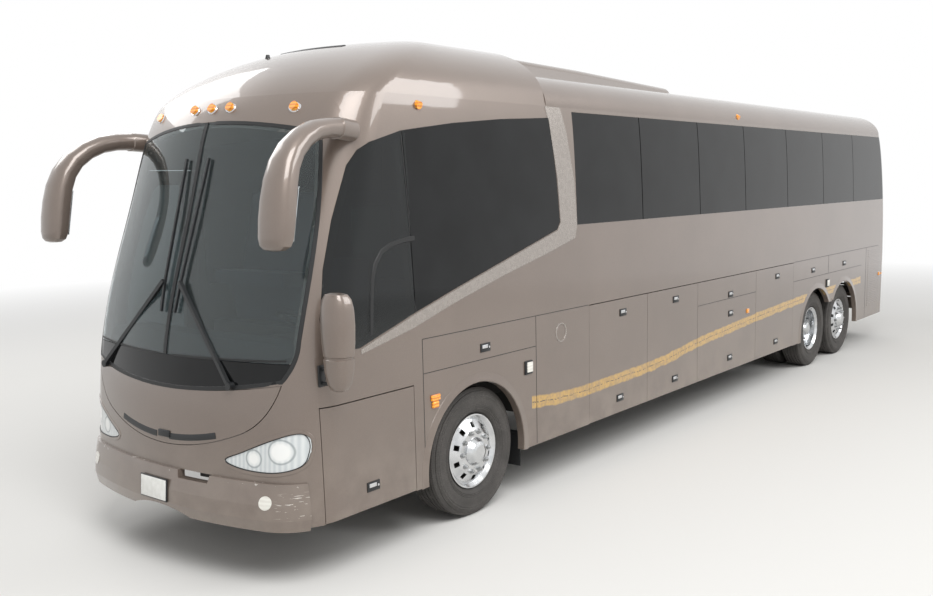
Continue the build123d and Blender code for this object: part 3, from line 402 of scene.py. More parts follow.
def slab(bm, size, place, bevel=0.0, segments=2):
    """A block of the given size, its edges rounded, put at a place given as a matrix."""
    made = bmesh.ops.create_cube(bm, size=1.0)["verts"]
    bmesh.ops.scale(bm, verts=made, vec=size)
    if bevel:
        edges = list({edge for vert in made for edge in vert.link_edges})
        made = bmesh.ops.bevel(bm, geom=edges, offset=bevel, offset_type="OFFSET", segments=segments,
                               profile=0.5, affect="EDGES", material=-1)["verts"]
    bmesh.ops.transform(bm, matrix=place, verts=made)


def turned(bm, profile, centre, steps, sweep=math.tau, begin=0.0):
    """A profile of (y, radius) spun about a line along Y through the centre."""
    verts = []
    for y, radius in profile:
        offset = Vector((math.cos(begin) * radius, y, math.sin(begin) * radius))
        verts.append(bm.verts.new(offset + Vector((centre.x, 0.0, centre.z))))
    edges = [bm.edges.new(pair) for pair in zip(verts, verts[1:])]
    whole = abs(sweep - math.tau) < 1e-6
    bmesh.ops.spin(bm, geom=verts + edges, cent=(centre.x, 0.0, centre.z), axis=(0, -1, 0),
                   angle=sweep, steps=steps, use_merge=whole)
    bmesh.ops.remove_doubles(bm, verts=bm.verts, dist=1e-5)
    bmesh.ops.recalc_face_normals(bm, faces=bm.faces)


def rod(bm, radius, length, place, sides=12, far_radius=None):
    """A round bar or cone along its own Z, put at a place given as a matrix."""
    made = bmesh.ops.create_cone(bm, cap_ends=True, segments=sides, radius1=radius,
                                 radius2=radius if far_radius is None else far_radius, depth=length)
    bmesh.ops.transform(bm, matrix=place, verts=made["verts"])


def facing(point, normal, up=Vector((0, 0, 1))):
    """A matrix at a point with its Z along the normal and its Y as near upright as it can be."""
    z = normal.normalized()
    x = up.cross(z).normalized()
    y = z.cross(x)
    return Matrix.Translation(point) @ Matrix((x, y, z)).transposed().to_4x4()


# %% [markdown]
# Latches, lamps and seals sit on curved panels. A search tree over the CAD panels finds the
# surface under a point, so each small piece is pressed onto the real panel and not onto a guess.

# %% Find the body's surface
def tree_over(*names):
    verts, faces = [], []
    for name in names:
        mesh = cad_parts[name].data
        base = len(verts)
        verts += [vert.co.copy() for vert in mesh.vertices]
        faces += [[base + i for i in face.vertices] for face in mesh.polygons]
    return BVHTree.FromPolygons(verts, faces)


skins = [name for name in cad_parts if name.startswith((
    "side_wall", "luggage_door", "locker_door", "front_mask", "front_flap", "windscreen", "rear_wall",
    "engine_lid", "roof_", "front_bumper", "entrance_door", "side_glass", "silver", "headlamps"))
    and name != "windscreen_bar"]
body_skin = tree_over(*skins)


def on_side(x, z, side=1):
    point, normal, _, _ = body_skin.ray_cast(Vector((x, side * 2.0, z)), Vector((0, -side, 0)))
    return point, normal


def on_front(y, z):
    point, normal, _, _ = body_skin.ray_cast(Vector((8.5, y, z)), Vector((-1, 0, 0)))
    return point, normal


def on_top(x, y):
    point, normal, _, _ = body_skin.ray_cast(Vector((x, y, 5.0)), Vector((0, 0, -1)))
    return point, normal


print("body skin from", len(skins), "nodes")


# %% [markdown]
# A coach tyre has a flat tread with five deep grooves and a sidewall with fine raised rings. Half
# of its section is listed and mirrored about the middle groove, and the whole is spun about the
# axle from bead to bead, so the grooves and rings are real geometry. A twin wheel has two tyres.

# %% Tyres
TYRE_WIDTH = 0.300
BEAD_R = 0.2863
GROOVES = (0.066, 0.106, 0.146)
GROOVE_HALF, GROOVE_DEPTH = 0.005, 0.012
SPIN_STEPS = 72


def tyre_section():
    """Half the section from the outer bead: (distance inboard of the sidewall, radius)."""
    side = [(0.064, BEAD_R), (0.062, 0.312), (0.040, 0.320), (0.016, 0.339)]
    for ring in range(3):
        radius = 0.352 + ring * 0.012
        side += [(0.013 - ring * 0.002, radius), (0.009 - ring * 0.002, radius + 0.003),
                 (0.012 - ring * 0.002, radius + 0.007)]
    side += [(0.002, 0.400), (0.0008, 0.430), (0.003, 0.458), (0.001, 0.462), (0.004, 0.468),
             (0.004, 0.476), (0.002, 0.480), (0.007, 0.488), (0.012, 0.503), (0.019, 0.505),
             (0.020, 0.512), (0.024, 0.520), (0.032, 0.534)]
    tread = []
    for groove in GROOVES:
        tread += [(groove - GROOVE_HALF, WHEEL_R - 0.001),
                  (groove - GROOVE_HALF + 0.001, WHEEL_R - GROOVE_DEPTH),
                  (groove + GROOVE_HALF - 0.001, WHEEL_R - GROOVE_DEPTH),
                  (groove + GROOVE_HALF, WHEEL_R - 0.0005)]
    # the middle groove's far wall comes from the mirrored half
    return side + tread[:-2]


def tyre_mesh(bm, axle_x, face_y, side):
    half = tyre_section()
    whole = half + [(TYRE_WIDTH - inboard, radius) for inboard, radius in reversed(half)]
    profile = [(side * (face_y - inboard), radius) for inboard, radius in whole]
    turned(bm, profile, Vector((axle_x, 0.0, WHEEL_R)), SPIN_STEPS)


DUAL_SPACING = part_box("tyre_drive_left")[1].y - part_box("tyre_drive_left")[0].y - TYRE_WIDTH
WHEELS = [("front", FRONT_AXLE, "front_wheel"), ("drive", DRIVE_AXLE, "drive_wheels"),
          ("tag", TAG_AXLE, "tag_wheel")]
for axle_name, axle_x, body in WHEELS:
    for side_name, side in (("left", 1), ("right", -1)):
        bm = bmesh.new()
        tyre_mesh(bm, axle_x, TYRE_FACE, side)
        if axle_name == "drive":
            tyre_mesh(bm, axle_x, TYRE_FACE - DUAL_SPACING, side)
        made = finish_piece(f"tyre_{axle_name}_{side_name}_moulded", bm, tyre_rubber,
                            f"{body}_{side_name}", 50.0)
        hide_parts(f"tyre_{axle_name}_{side_name}")

# %% [markdown]
# Ten nuts hold each wheel on a 335 mm circle. Each is a hexagon with a round washer face and a
# stud end standing out of it. A twin wheel's disc lies deep in the rim, so its nuts do too.

# %% Wheel nuts
BOLT_CIRCLE = 0.335 / 2
NUT_COUNT = 10
NUT_R, NUT_HEIGHT = 0.019, 0.022
WASHER_R, WASHER_THICK = NUT_R + 0.005, 0.006
STUD_R, STUD_LENGTH = 0.010, 0.012
DISH = {"front": 0.012, "tag": 0.012, "drive": 0.150}


def along_axle(x, y, z, side):
    return facing(Vector((x, y, z)), Vector((0, side, 0)))


for axle_name, axle_x, body in WHEELS:
    for side_name, side in (("left", 1), ("right", -1)):
        bm = bmesh.new()
        disc_y = TYRE_FACE - DISH[axle_name]
        for turn in range(NUT_COUNT):
            angle = math.tau * (turn + 0.5) / NUT_COUNT
            x = axle_x + BOLT_CIRCLE * math.sin(angle)
            z = WHEEL_R + BOLT_CIRCLE * math.cos(angle)
            rod(bm, WASHER_R, WASHER_THICK, along_axle(x, side * (disc_y + 0.002), z, side), 16)
            rod(bm, NUT_R, NUT_HEIGHT, along_axle(x, side * (disc_y + 0.014), z, side), 6, NUT_R * 0.9)
            rod(bm, STUD_R, STUD_LENGTH, along_axle(x, side * (disc_y + 0.029), z, side), 10)
        finish_piece(f"wheel_nuts_{axle_name}_{side_name}", bm, zinc, f"{body}_{side_name}")
print("wheel nuts placed")

# %% [markdown]
# Each door is opened by a paddle latch: a black bezel let into the panel with a bright paddle
# and a lock barrel. They ride on the panel they belong to, and the far side mirrors the near one.

# %% Latches
BEZEL = (0.130, 0.072, 0.008)
PADDLE = (0.074, 0.030, 0.008)


def latch(bm_bezel, bm_paddle, point, normal):
    place = facing(point + normal * 0.003, normal)
    slab(bm_bezel, BEZEL, place, 0.003)
    slab(bm_paddle, PADDLE, place @ Matrix.Translation((-0.012, 0.010, 0.006)), 0.003)
    rod(bm_paddle, 0.009, 0.010, place @ Matrix.Translation((0.044, 0.0, 0.004)), 14)


DOOR_LATCHES = {1: [(2.299, 1.442), (2.359, 0.588)], 2: [(1.145, 1.452), (1.155, 0.579)],
                3: [(-0.304, 1.361), (-0.302, 0.592), (-0.312, 1.130)],
                4: [(-1.800, 1.450), (-1.777, 0.584)]}
LATCHES = [(f"luggage_door_{side_name}_{number}", side, spots)
           for number, spots in DOOR_LATCHES.items()
           for side_name, side in (("left", 1), ("right", -1))]
LATCHES.append(("locker_door", 1, [(5.914, 0.597)]))
LATCHES.append(("coach_body", 1, [(4.560, 1.413), (-3.166, 1.419), (-4.534, 1.417)]))
LATCHES.append(("coach_body", -1, [(4.560, 1.413), (-3.166, 1.419), (-4.534, 1.417)]))
for body, side, spots in LATCHES:
    bezels, paddles = bmesh.new(), bmesh.new()
    for x, z in spots:
        point, normal = on_side(x, z, side)
        latch(bezels, paddles, point, normal)
    tail = "" if body != "coach_body" else ("_left" if side > 0 else "_right")
    finish_piece(f"latch_bezel_{body}{tail}", bezels, black_plastic, body)
    finish_piece(f"latch_paddle_{body}{tail}", paddles, chrome, body)
print("latches on", len(LATCHES), "panels")


# %% [markdown]
# Panel joints that the CAD model doesn't cut are drawn as thin black sealing strips, 7 mm wide,
# pressed onto the panel. Each is a row of points on the surface, joined by one ribbon.

# %% Sealing strips
def ribbon(bm, points, width, height):
    """A strip of the given width and height along points that carry their surface normals."""
    rows = []
    count = len(points)
    for index, (point, normal) in enumerate(points):
        before = points[max(index - 1, 0)][0]
        after = points[min(index + 1, count - 1)][0]
        if index in (0, count - 1) and (points[0][0] - points[-1][0]).length < 1e-4:
            before, after = points[-2][0], points[1][0]
        across = (after - before).normalized().cross(normal).normalized()
        low = point - normal * 0.002
        top = point + normal * height
        rows.append([bm.verts.new(low - across * width / 2), bm.verts.new(top - across * width * 0.35),
                     bm.verts.new(top + across * width * 0.35), bm.verts.new(low + across * width / 2)])
    for row, following in zip(rows, rows[1:]):
        for i in range(4):
            j = (i + 1) % 4
            bm.faces.new((row[i], row[j], following[j], following[i]))
    if (points[0][0] - points[-1][0]).length > 1e-4:
        bm.faces.new(rows[0])
        bm.faces.new(list(reversed(rows[-1])))
    bmesh.ops.remove_doubles(bm, verts=bm.verts, dist=1e-5)
    bmesh.ops.recalc_face_normals(bm, faces=bm.faces)


def side_line(x0, z0, x1, z1, side, steps=12):
    return [on_side(x0 + (x1 - x0) * i / steps, z0 + (z1 - z0) * i / steps, side)
            for i in range(steps + 1)]


SEAMS = [(5.443, 1.300, 5.443, SILL + 0.01), (5.336, WAIST, 5.336, SILL + 0.01),
         (5.336, 1.319, 3.827, 1.319), (3.827, WAIST, 3.827, SILL + 0.01),
         (-3.816, WAIST, -3.816, 1.320), (-2.391, 1.320, -5.400, 1.320),
         (-5.634, WAIST, -5.634, SILL + 0.01), (5.336, WAIST, 2.95, WAIST),
         (-2.40, WAIST, -6.640, WAIST)]
seams = bmesh.new()
for x0, z0, x1, z1 in SEAMS:
    for side in (1, -1):
        points = [p for p in side_line(x0, z0, x1, z1, side) if p[0] is not None
                  and abs(p[0].y) > BODY_HALF - SIDE_DEPTH]
        if len(points) > 1:
            ribbon(seams, points, 0.007, 0.0012)
finish_piece("panel_seams", seams, rubber, "coach_body")
for side_name, side in (("left", 1), ("right", -1)):
    split = bmesh.new()
    ribbon(split, side_line(-1.080, 1.313, 0.588, 1.313, side), 0.007, 0.0012)
    finish_piece(f"bay_3_flap_seam_{side_name}", split, rubber, f"luggage_door_{side_name}_3")
print("seams drawn")


# %% [markdown]
# The windscreen is glued in and its edge is covered by a black rubber moulding. The outline is
# the one the glass was cut to: six arcs, each given by three points, walked in even steps.

# %% Windscreen moulding
def arc_points(a, b, c, steps):
    """Even steps along the circle through three points in a plane."""
    (ax, ay), (bx, by), (cx, cy) = a, b, c
    d = 2 * (ax * (by - cy) + bx * (cy - ay) + cx * (ay - by))
    ux = ((ax**2 + ay**2) * (by - cy) + (bx**2 + by**2) * (cy - ay) + (cx**2 + cy**2) * (ay - by)) / d
    uy = ((ax**2 + ay**2) * (cx - bx) + (bx**2 + by**2) * (ax - cx) + (cx**2 + cy**2) * (bx - ax)) / d
    radius = math.hypot(ax - ux, ay - uy)
    first, mid, last = (math.atan2(y - uy, x - ux) for x, y in (a, b, c))
    sweep = (last - first) % math.tau
    if (mid - first) % math.tau > sweep:
        sweep -= math.tau
    return [(ux + radius * math.cos(first + sweep * i / steps),
             uy + radius * math.sin(first + sweep * i / steps)) for i in range(steps)]


SCREEN = [((-1.040, 3.120), (0, 3.226), (1.040, 3.120)), ((1.040, 3.120), (1.153, 2.280), (1.166, 1.700)),
          ((1.166, 1.700), (1.146, 1.540), (1.090, 1.432)), ((1.090, 1.432), (0, 1.326), (-1.090, 1.432)),
          ((-1.090, 1.432), (-1.146, 1.540), (-1.166, 1.700)),
          ((-1.166, 1.700), (-1.153, 2.280), (-1.040, 3.120))]
outline = [point for arc in SCREEN for point in arc_points(*arc, 16)]
shrunk = [(y * 0.992, 2.27 + (z - 2.27) * 0.992) for y, z in outline]
rim = [on_front(y, z) for y, z in shrunk]
rim = [hit for hit in rim if hit[0] is not None]
moulding = bmesh.new()
ribbon(moulding, rim + [rim[0]], 0.034, 0.004)
finish_piece("windscreen_moulding", moulding, rubber, "coach_body")

lower_edge = bmesh.new()
ribbon(lower_edge, [on_front(y / 20 * 1.10, 1.560 + 0.020 * (y / 20) ** 2) for y in range(-20, 21)],
       0.018, 0.004)
finish_piece("windscreen_lower_seal", lower_edge, rubber, "coach_body")
print("moulding points", len(rim))

# %% [markdown]
# The service flap has two long air slots at its foot with a handle between them, and the front
# bumper carries a blank plate. Plates are made as raised enamelled sheet in a thin black frame.

# %% Front slots, handle and plate
slots = bmesh.new()
for side in (1, -1):
    track = []
    for i in range(13):
        y = 0.075 + 0.48 * i / 12
        track.append(on_front(side * y, 0.966 + 0.20 * y * y + 0.004))
    ribbon(slots, track, 0.052, 0.003)
finish_piece("front_air_slots", slots, black_plastic, "coach_body")

handle = bmesh.new()
point, normal = on_front(0.02, 0.985)
slab(handle, (0.13, 0.050, 0.016), facing(point + normal * 0.004, normal), 0.006, 3)
finish_piece("front_flap_handle", handle, black_plastic, "coach_body")

plate, plate_frame = bmesh.new(), bmesh.new()
point, normal = on_front(-0.04, 0.587)
place = facing(point + normal * 0.004, normal)
slab(plate_frame, (0.325, 0.168, 0.010), place, 0.004)
slab(plate, (0.305, 0.150, 0.004), place @ Matrix.Translation((0, 0, 0.0055)), 0.0015)
finish_piece("plate_frames", plate_frame, black_plastic, "coach_body")
finish_piece("blank_front_plate", plate, plate_white, "coach_body")
print("front details made")


# %% [markdown]
# The headlamp cover is let into the front with a black gasket, and the body panel rolls over its
# edge. Both follow one smooth closed curve, a Catmull-Rom spline through the lamp's corners.

# %% Headlamp gaskets
LAMP_CORNERS = [(0.645, 0.871), (0.790, 0.938), (1.010, 1.033), (1.172, 1.087), (1.222, 1.055),
                (1.228, 0.960), (1.190, 0.862), (1.030, 0.820), (0.790, 0.826)]


def spline(corners, steps):
    """Even steps along a closed Catmull-Rom curve."""
    points = []
    count = len(corners)
    for i in range(count):
        a, b, c, d = (Vector(corners[(i + k - 1) % count]) for k in range(4))
        for step in range(steps):
            t = step / steps
            points.append(0.5 * (2 * b + (c - a) * t + (2 * a - 5 * b + 4 * c - d) * t * t
                                 + (3 * b - a - 3 * c + d) * t * t * t))
    return points


gaskets, surrounds = bmesh.new(), bmesh.new()
curve = spline(LAMP_CORNERS, 6)
centre = sum(curve, Vector((0, 0))) / len(curve)
for side in (1, -1):
    for bm, grow, width, height in ((surrounds, 0.016, 0.030, 0.004), (gaskets, 0.001, 0.007, 0.005)):
        track = []
        for index, point in enumerate(curve):
            run = curve[(index + 1) % len(curve)] - curve[index - 1]
            out = Vector((run.y, -run.x)).normalized()
            if (point + out * 0.01 - centre).length < (point - centre).length:
                out = -out
            y, z = point + out * grow
            track.append(on_front(side * y, z))
        ribbon(bm, track + track[:1], width, height)
finish_piece("headlamp_surrounds", surrounds, paint, "coach_body")
finish_piece("headlamp_gaskets", gaskets, rubber, "coach_body")
print("headlamp curve of", len(curve), "points")

# %% [markdown]
# Behind the last bay the engine breathes through a panel of fine horizontal slats. Each slat is
# a ribbon on the side's surface. Rubber flaps hang behind the
# front wheels, clear of the tyre when it is steered.

# %% Engine air grille and mud flaps
GRILLE = (-5.745, -6.600, 0.625, 1.530)
SLAT_PITCH = 0.030
slats = bmesh.new()
rear_x, front_x = GRILLE[1], GRILLE[0]
for side in (1, -1):
    rows = int((GRILLE[3] - GRILLE[2]) / SLAT_PITCH)
    for row in range(rows + 1):
        z = GRILLE[2] + row * SLAT_PITCH
        ribbon(slats, side_line(front_x, z, rear_x, z, side, 4), 0.015, 0.004)
finish_piece("engine_grille_slats", slats, paint, "coach_body")
flaps = bmesh.new()
for side in (1, -1):
    slab(flaps, (0.008, 0.270, 0.310), Matrix.Translation((FRONT_AXLE - 0.640, side * 1.080, 0.415)),
         0.003)
    slab(flaps, (0.020, 0.270, 0.030), Matrix.Translation((FRONT_AXLE - 0.640, side * 1.080, 0.560)),
         0.004)
finish_piece("front_mud_flaps", flaps, rubber, "coach_body")
print("grille and flaps made")

# %% [markdown]
# The wheel arches are edged by a pressed lip. It is a small rounded section spun through the
# arch's arc. The two rear arches meet between the wheels, so their arcs stop short there.

# %% Arch lips
ARCH_R, ARCH_Z, ARCH_LEAD = 0.635, 0.505, 0.055
FOOT = math.asin((SILL - ARCH_Z) / ARCH_R)
MEET = math.asin((0.885 - ARCH_Z) / ARCH_R)
ARCHES = [(FRONT_AXLE, FOOT, math.pi - FOOT), (DRIVE_AXLE, FOOT, math.pi - MEET),
          (TAG_AXLE, MEET, math.pi - FOOT)]
lips = bmesh.new()
for axle_x, begin, end in ARCHES:
    for side in (1, -1):
        inner = BODY_HALF - 0.006
        section = [(inner, ARCH_R + 0.001), (BODY_HALF + 0.004, ARCH_R + 0.001),
                   (BODY_HALF + 0.009, ARCH_R + 0.007), (BODY_HALF + 0.008, ARCH_R + 0.020),
                   (BODY_HALF + 0.004, ARCH_R + 0.040), (BODY_HALF + 0.001, ARCH_R + 0.075),
                   (inner, ARCH_R + 0.080)]
        one = bmesh.new()
        turned(one, [(side * y, radius) for y, radius in section + section[:1]],
               Vector((axle_x + ARCH_LEAD, 0.0, ARCH_Z)), 40, end - begin, begin)
        holes = [edge for edge in one.edges if edge.is_boundary]
        bmesh.ops.holes_fill(one, edges=holes, sides=0)
        bmesh.ops.recalc_face_normals(one, faces=one.faces)
        part = bpy.data.meshes.new("part")
        one.to_mesh(part)
        one.free()
        lips.from_mesh(part)
        bpy.data.meshes.remove(part)
finish_piece("arch_lips", lips, paint, "coach_body")
print("arch lips spun")

# %% [markdown]
# The mirrors are moulded horns: an arm sweeps forward out of the roof corner, turns down and
# widens into the head. A ring is laid at each point of the spine and the rings are bridged. The
# ring is a superellipse, round ahead and nearly flat behind, where the glass sits.

# %% Mirror housings
def ring_at(bm, centre, ahead, across, depth, width, back):
    """A closed ring of edges about a point; back is the exponent of the rear half."""
    verts = bmesh.ops.create_circle(bm, segments=32, radius=1.0)["verts"]
    for vert in verts:
        c, t = vert.co.x, vert.co.y
        power = 2 / (2.3 if c >= 0 else back)
        vert.co = (centre + ahead * math.copysign(abs(c) ** power, c) * depth / 2
                   + across * math.copysign(abs(t) ** power, t) * width / 2)
    return list({edge for vert in verts for edge in vert.link_edges})


def horn(bm, rows):
    """Rows of (centre, depth, width, back exponent) along a spine that lies in one XZ plane."""
    rings = []
    for index, (centre, depth, width, back) in enumerate(rows):
        run = Vector(rows[min(index + 1, len(rows) - 1)][0]) - Vector(rows[max(index - 1, 0)][0])
        across = Vector((0, 1, 0))
        ahead = Vector((run.x, 0, run.z)).normalized().cross(across)
        rings.append(ring_at(bm, Vector(centre), ahead, across, depth, width, back))
    for a, b in zip(rings, rings[1:]):
        bmesh.ops.bridge_loops(bm, edges=a + b)
    bmesh.ops.holes_fill(bm, edges=rings[0] + rings[-1], sides=0)
    bmesh.ops.recalc_face_normals(bm, faces=bm.faces)


UPPER_HORN = [((5.900, 1.180, 3.120), 0.150, 0.180, 2.3), ((6.072, 1.212, 3.132), 0.150, 0.182, 2.3),
              ((6.082, 1.214, 3.132), 0.136, 0.166, 2.3), ((6.200, 1.230, 3.128), 0.136, 0.168, 2.4),
              ((6.330, 1.250, 3.104), 0.138, 0.176, 2.6), ((6.450, 1.268, 3.052), 0.140, 0.190, 3.0),
              ((6.555, 1.284, 2.975), 0.144, 0.208, 3.4), ((6.630, 1.296, 2.880), 0.148, 0.228, 4.0),
              ((6.678, 1.304, 2.770), 0.150, 0.246, 5.0), ((6.708, 1.308, 2.650), 0.150, 0.260, 6.0),
              ((6.728, 1.310, 2.530), 0.148, 0.266, 6.0), ((6.742, 1.310, 2.420), 0.138, 0.258, 6.0),
              ((6.746, 1.310, 2.372), 0.118, 0.232, 5.0), ((6.748, 1.310, 2.348), 0.080, 0.170, 4.0),
              ((6.748, 1.310, 2.341), 0.036, 0.080, 3.0)]
horns = bmesh.new()
for side in (1, -1):
    horn(horns, [((x, side * y, z), depth, width, back)
                 for (x, y, z), depth, width, back in UPPER_HORN])
made = finish_piece("upper_mirrors_moulded", horns, paint, "coach_body", 30.0)
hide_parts("upper_mirrors")

LOWER_HEAD = [(2.047, 0.050, 0.080), (2.036, 0.110, 0.150), (2.000, 0.148, 0.196),
              (1.930, 0.166, 0.222), (1.830, 0.170, 0.230), (1.720, 0.166, 0.222),
              (1.626, 0.156, 0.206), (1.619, 0.142, 0.190), (1.609, 0.142, 0.190),
              (1.602, 0.156, 0.206), (1.520, 0.148, 0.194), (1.440, 0.124, 0.168),
              (1.398, 0.084, 0.118), (1.384, 0.040, 0.056)]
head = bmesh.new()
horn(head, [((6.360, 1.440, z), depth, width, 6.0) for z, depth, width in LOWER_HEAD])
made = finish_piece("lower_mirror_moulded", head, paint, "coach_body", 30.0)
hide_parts("lower_mirror")
bracket = bmesh.new()
for z in (1.420, 1.520):
    rod(bracket, 0.013, 0.150, along_axle(6.345, 1.310, z, 1), 14)
slab(bracket, (0.060, 0.150, 0.018), facing(Vector((6.345, 1.266, 1.470)), Vector((0, 1, 0))), 0.006)
finish_piece("lower_mirror_bracket", bracket, black_plastic, "coach_body")

glasses = bmesh.new()
lean = Matrix.Rotation(-math.atan2(0.064, 0.350), 4, "Y")
for side in (1, -1):
    back_face = Matrix.Translation((6.712, side * 1.309, 2.585)) @ lean
    slab(glasses, (0.006, 0.206, 0.350), back_face @ Matrix.Translation((-0.0745, 0, 0)), 0.002)
slab(glasses, (0.006, 0.168, 0.270), Matrix.Translation((6.360 - 0.0830, 1.440, 1.815)), 0.002)
slab(glasses, (0.006, 0.130, 0.110), Matrix.Translation((6.360 - 0.0745, 1.440, 1.528)), 0.002)
finish_piece("mirror_glasses", glasses, mirror_glass, "coach_body")
print("mirrors moulded")

# %% [markdown]
# Small side fittings: white marker lamps in a dark base, pale bezels round the brow lamps, and a
# plain ring where a round badge sits on the panel behind the front wheel.

# %% Side and brow fittings
bases, lamps = bmesh.new(), bmesh.new()
for x, z in ((3.953, 1.149), (-3.779, 1.177)):
    for side in (1, -1):
        point, normal = on_side(x, z, side)
        place = facing(point + normal * 0.004, normal)
        slab(bases, (0.110, 0.120, 0.020), place, 0.006)
        slab(lamps, (0.080, 0.090, 0.016), place @ Matrix.Translation((0.006, 0.004, 0.012)), 0.006)
ambers = bmesh.new()
for side in (1, -1):
    point, normal = on_side(FRONT_AXLE + 0.589, 1.085, side)
    place = facing(point + normal * 0.006, normal)
    slab(ambers, (0.105, 0.050, 0.020), place @ Matrix.Translation((0, 0.030, 0)), 0.009, 3)
    slab(ambers, (0.078, 0.050, 0.020), place @ Matrix.Translation((-0.004, -0.026, 0)), 0.009, 3)
    for x, z in ((-0.826, 1.100), (-6.36, 1.105)):
        point, normal = on_side(x, z, side)
        slab(ambers, (0.070, 0.056, 0.020), facing(point + normal * 0.004, normal), 0.009, 3)
finish_piece("amber_side_lamps", ambers, amber_lens, "coach_body")
finish_piece("marker_bases", bases, black_plastic, "coach_body")
finish_piece("white_side_lamps", lamps, clear_lens, "coach_body")

BADGE_R, RING_STEPS = 0.082, 72
ring = bmesh.new()
for side in (1, -1):
    point, normal = on_side(3.426, 1.388, side)
    track = []
    for i in range(RING_STEPS + 1):
        angle = math.tau * (i % RING_STEPS) / RING_STEPS
        track.append((point + Vector((BADGE_R * math.cos(angle), 0, BADGE_R * math.sin(angle)))
                      + normal * 0.001, normal))
    ribbon(ring, track, 0.016, 0.004)
finish_piece("plain_badge_ring", ring, silver, "coach_body")

bezels = bmesh.new()
for y, z in ((-0.785, 3.297), (-0.213, 3.321), (0.0, 3.323), (0.201, 3.322), (0.781, 3.299)):
    point, normal = on_front(y, z)
    place = facing(point + normal * 0.002, normal)
    rod(bezels, 0.052, 0.008, place @ Matrix.Scale(0.8, 4, (0, 1, 0)), 28, 0.046)
finish_piece("brow_lamp_bezels", bezels, chrome, "coach_body")
print("fittings made")

# %% [markdown]
# The driver's side window holds a sliding vent behind a curved black frame, and a pale blind
# hangs inside its upper half.

# %% Driver's window
vent = bmesh.new()
track = [(0.762, 2.349), (0.900, 2.338), (1.020, 2.315), (1.116, 2.275), (1.190, 2.190), (1.228, 2.078),
         (1.250, 1.880), (1.262, 1.690)]
ribbon(vent, [on_side(FRONT_AXLE + x, z) for x, z in track], 0.040, 0.006)
finish_piece("vent_frame", vent, rubber, "coach_body")
blind = bmesh.new()
slab(blind, (0.40, 0.004, 0.34), Matrix.Translation((FRONT_AXLE + 1.10, 1.170, 2.42)), 0.001)
slab(blind, (0.42, 0.016, 0.024), Matrix.Translation((FRONT_AXLE + 1.10, 1.170, 2.245)), 0.004)
finish_piece("driver_blind", blind, blind_cloth, "coach_body")
divider = bmesh.new()
ribbon(divider, [on_side(FRONT_AXLE + 0.780 + 0.060 * i / 10, 1.80 + 1.30 * i / 10) for i in range(11)],
       0.012, 0.003)
finish_piece("window_divider", divider, rubber, "coach_body")
print("driver's window made")

# %% [markdown]
# On the roof, a dark slit vent lies in the crown of the dome and a short aerial stands behind it.

# %% Roof fittings
roof = bmesh.new()
ribbon(roof, [on_top(FRONT_AXLE + 0.56 - 0.05 * (i / 6 - 1) ** 2, -0.34 + 0.70 * i / 12)
              for i in range(13)], 0.085, 0.006)
point, normal = on_top(FRONT_AXLE + 0.785, -0.23)
rod(roof, 0.022, 0.030, Matrix.Translation(point + Vector((0, 0, 0.010))), 16, 0.014)
finish_piece("roof_vent", roof, black_plastic, "coach_body")
print("roof fittings made")

# %% [markdown]
# Plain pale floor, a pale world and three broad lamps, as in a studio for vehicles. The floor
# fades to the world's white with distance, so no horizon shows behind the coach. Only what the
# camera and reflections see is white: the light on the paint stays at a plain level.

# %% Floor and world
floor_bm = bmesh.new()
bmesh.ops.create_grid(floor_bm, x_segments=1, y_segments=1, size=160.0)
floor_mesh = bpy.data.meshes.new("studio_floor")
floor_bm.to_mesh(floor_mesh)
floor_bm.free()
floor = bpy.data.objects.new("studio_floor", floor_mesh)
bpy.context.collection.objects.link(floor)
floor_paint = bpy.data.materials.new("pale_studio_floor")
floor_paint.use_nodes = True
tree = floor_paint.node_tree
shader = tree.nodes["Principled BSDF"]
shader.inputs["Base Color"].default_value = linear("#E6E5E2")
shader.inputs["Roughness"].default_value = 0.9
place = add(tree, "ShaderNodeTexCoord").outputs["Object"]
away = add(tree, "ShaderNodeVectorMath", {0: place}, operation="LENGTH").outputs["Value"]
fade = ramp_between(tree, away, 9.0, 22.0)
path = add(tree, "ShaderNodeLightPath")
seen = maths(tree, "MAXIMUM", path.outputs["Is Camera Ray"],
             maths(tree, "MAXIMUM", path.outputs["Is Glossy Ray"], path.outputs["Is Transmission Ray"]))
glow = add(tree, "ShaderNodeEmission", {"Color": (1, 1, 1, 1), "Strength": 1.0})
blend = add(tree, "ShaderNodeMixShader", {0: maths(tree, "MULTIPLY", fade, seen),
                                          1: shader.outputs[0], 2: glow.outputs[0]})
tree.links.new(blend.outputs[0], tree.nodes["Material Output"].inputs["Surface"])
floor_mesh.materials.append(floor_paint)

world = bpy.data.worlds.new("studio")
bpy.context.scene.world = world
world.use_nodes = True
tree = world.node_tree
path = add(tree, "ShaderNodeLightPath")
seen = maths(tree, "MAXIMUM", path.outputs["Is Camera Ray"],
             maths(tree, "MAXIMUM", path.outputs["Is Glossy Ray"], path.outputs["Is Transmission Ray"]))
background = tree.nodes["Background"]
background.inputs["Color"].default_value = (1.0, 1.0, 1.0, 1.0)
tree.links.new(ramp_between(tree, seen, 0.0, 1.0, 0.55, 1.0), background.inputs["Strength"])


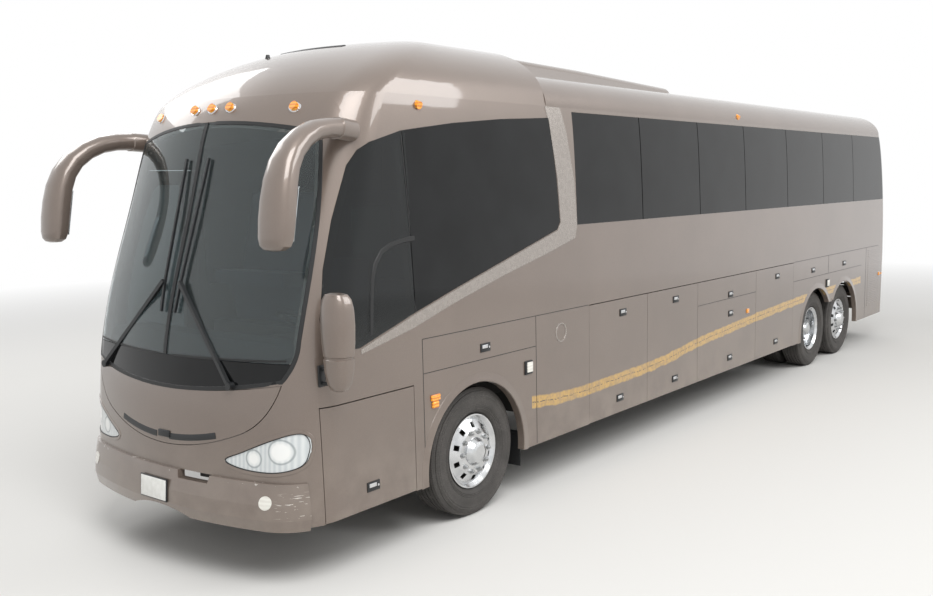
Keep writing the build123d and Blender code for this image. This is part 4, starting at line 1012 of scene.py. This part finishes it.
# %% Lamps
def softbox(name, place, aim, size, power):
    light = bpy.data.lights.new(name, "AREA")
    light.shape = "RECTANGLE"
    light.size, light.size_y = size
    light.energy = power
    made = bpy.data.objects.new(name, light)
    made.location = place
    made.rotation_euler = (Vector(aim) - Vector(place)).to_track_quat("-Z", "Y").to_euler()
    bpy.context.collection.objects.link(made)


softbox("key_softbox", (9.0, 7.0, 11.0), (2.0, 0.0, 1.5), (7.0, 7.0), 1000.0)
softbox("side_softbox", (-4.0, 11.0, 9.0), (-2.0, 0.0, 1.5), (9.0, 5.0), 650.0)
softbox("far_softbox", (4.0, -10.0, 9.0), (0.0, 0.0, 1.5), (9.0, 5.0), 400.0)
print("studio lit")

# %% [markdown]
# The camera stands where the photographer stood: ahead of the coach on the driver's side, just
# above the side windows' lower edge. Its turn, tilt and roll are the angles that make the wheels,
# windows and mirrors fall where they do in the photograph, 933 pixels wide.

# %% Camera
PHOTO_WIDTH = 933.0
FOCAL_PIXELS = 991.11
YAW, PITCH, ROLL = (math.radians(v) for v in (-142.2628, 7.6783, 1.0779))
SHIFT_PIXELS = (13.92, 18.08)
camera = bpy.data.objects.new("camera", bpy.data.cameras.new("camera"))
bpy.context.collection.objects.link(camera)
forward = Vector((math.cos(YAW) * math.cos(PITCH), math.sin(YAW) * math.cos(PITCH), -math.sin(PITCH)))
right = forward.cross(Vector((0, 0, 1))).normalized()
down = forward.cross(right)
right_rolled = right * math.cos(ROLL) + down * math.sin(ROLL)
down_rolled = down * math.cos(ROLL) - right * math.sin(ROLL)
turn = Matrix((right_rolled, -down_rolled, -forward)).transposed()
camera.matrix_world = Matrix.Translation((FRONT_AXLE + 6.2817, 6.1561, 2.7477)) @ turn.to_4x4()
camera.data.sensor_width = 36.0
camera.data.lens = 36.0 * FOCAL_PIXELS / PHOTO_WIDTH
camera.data.shift_x = -SHIFT_PIXELS[0] / PHOTO_WIDTH
camera.data.shift_y = SHIFT_PIXELS[1] / PHOTO_WIDTH
camera.data.clip_end = 400.0
bpy.context.scene.camera = camera
bpy.context.scene.view_settings.view_transform = "Standard"
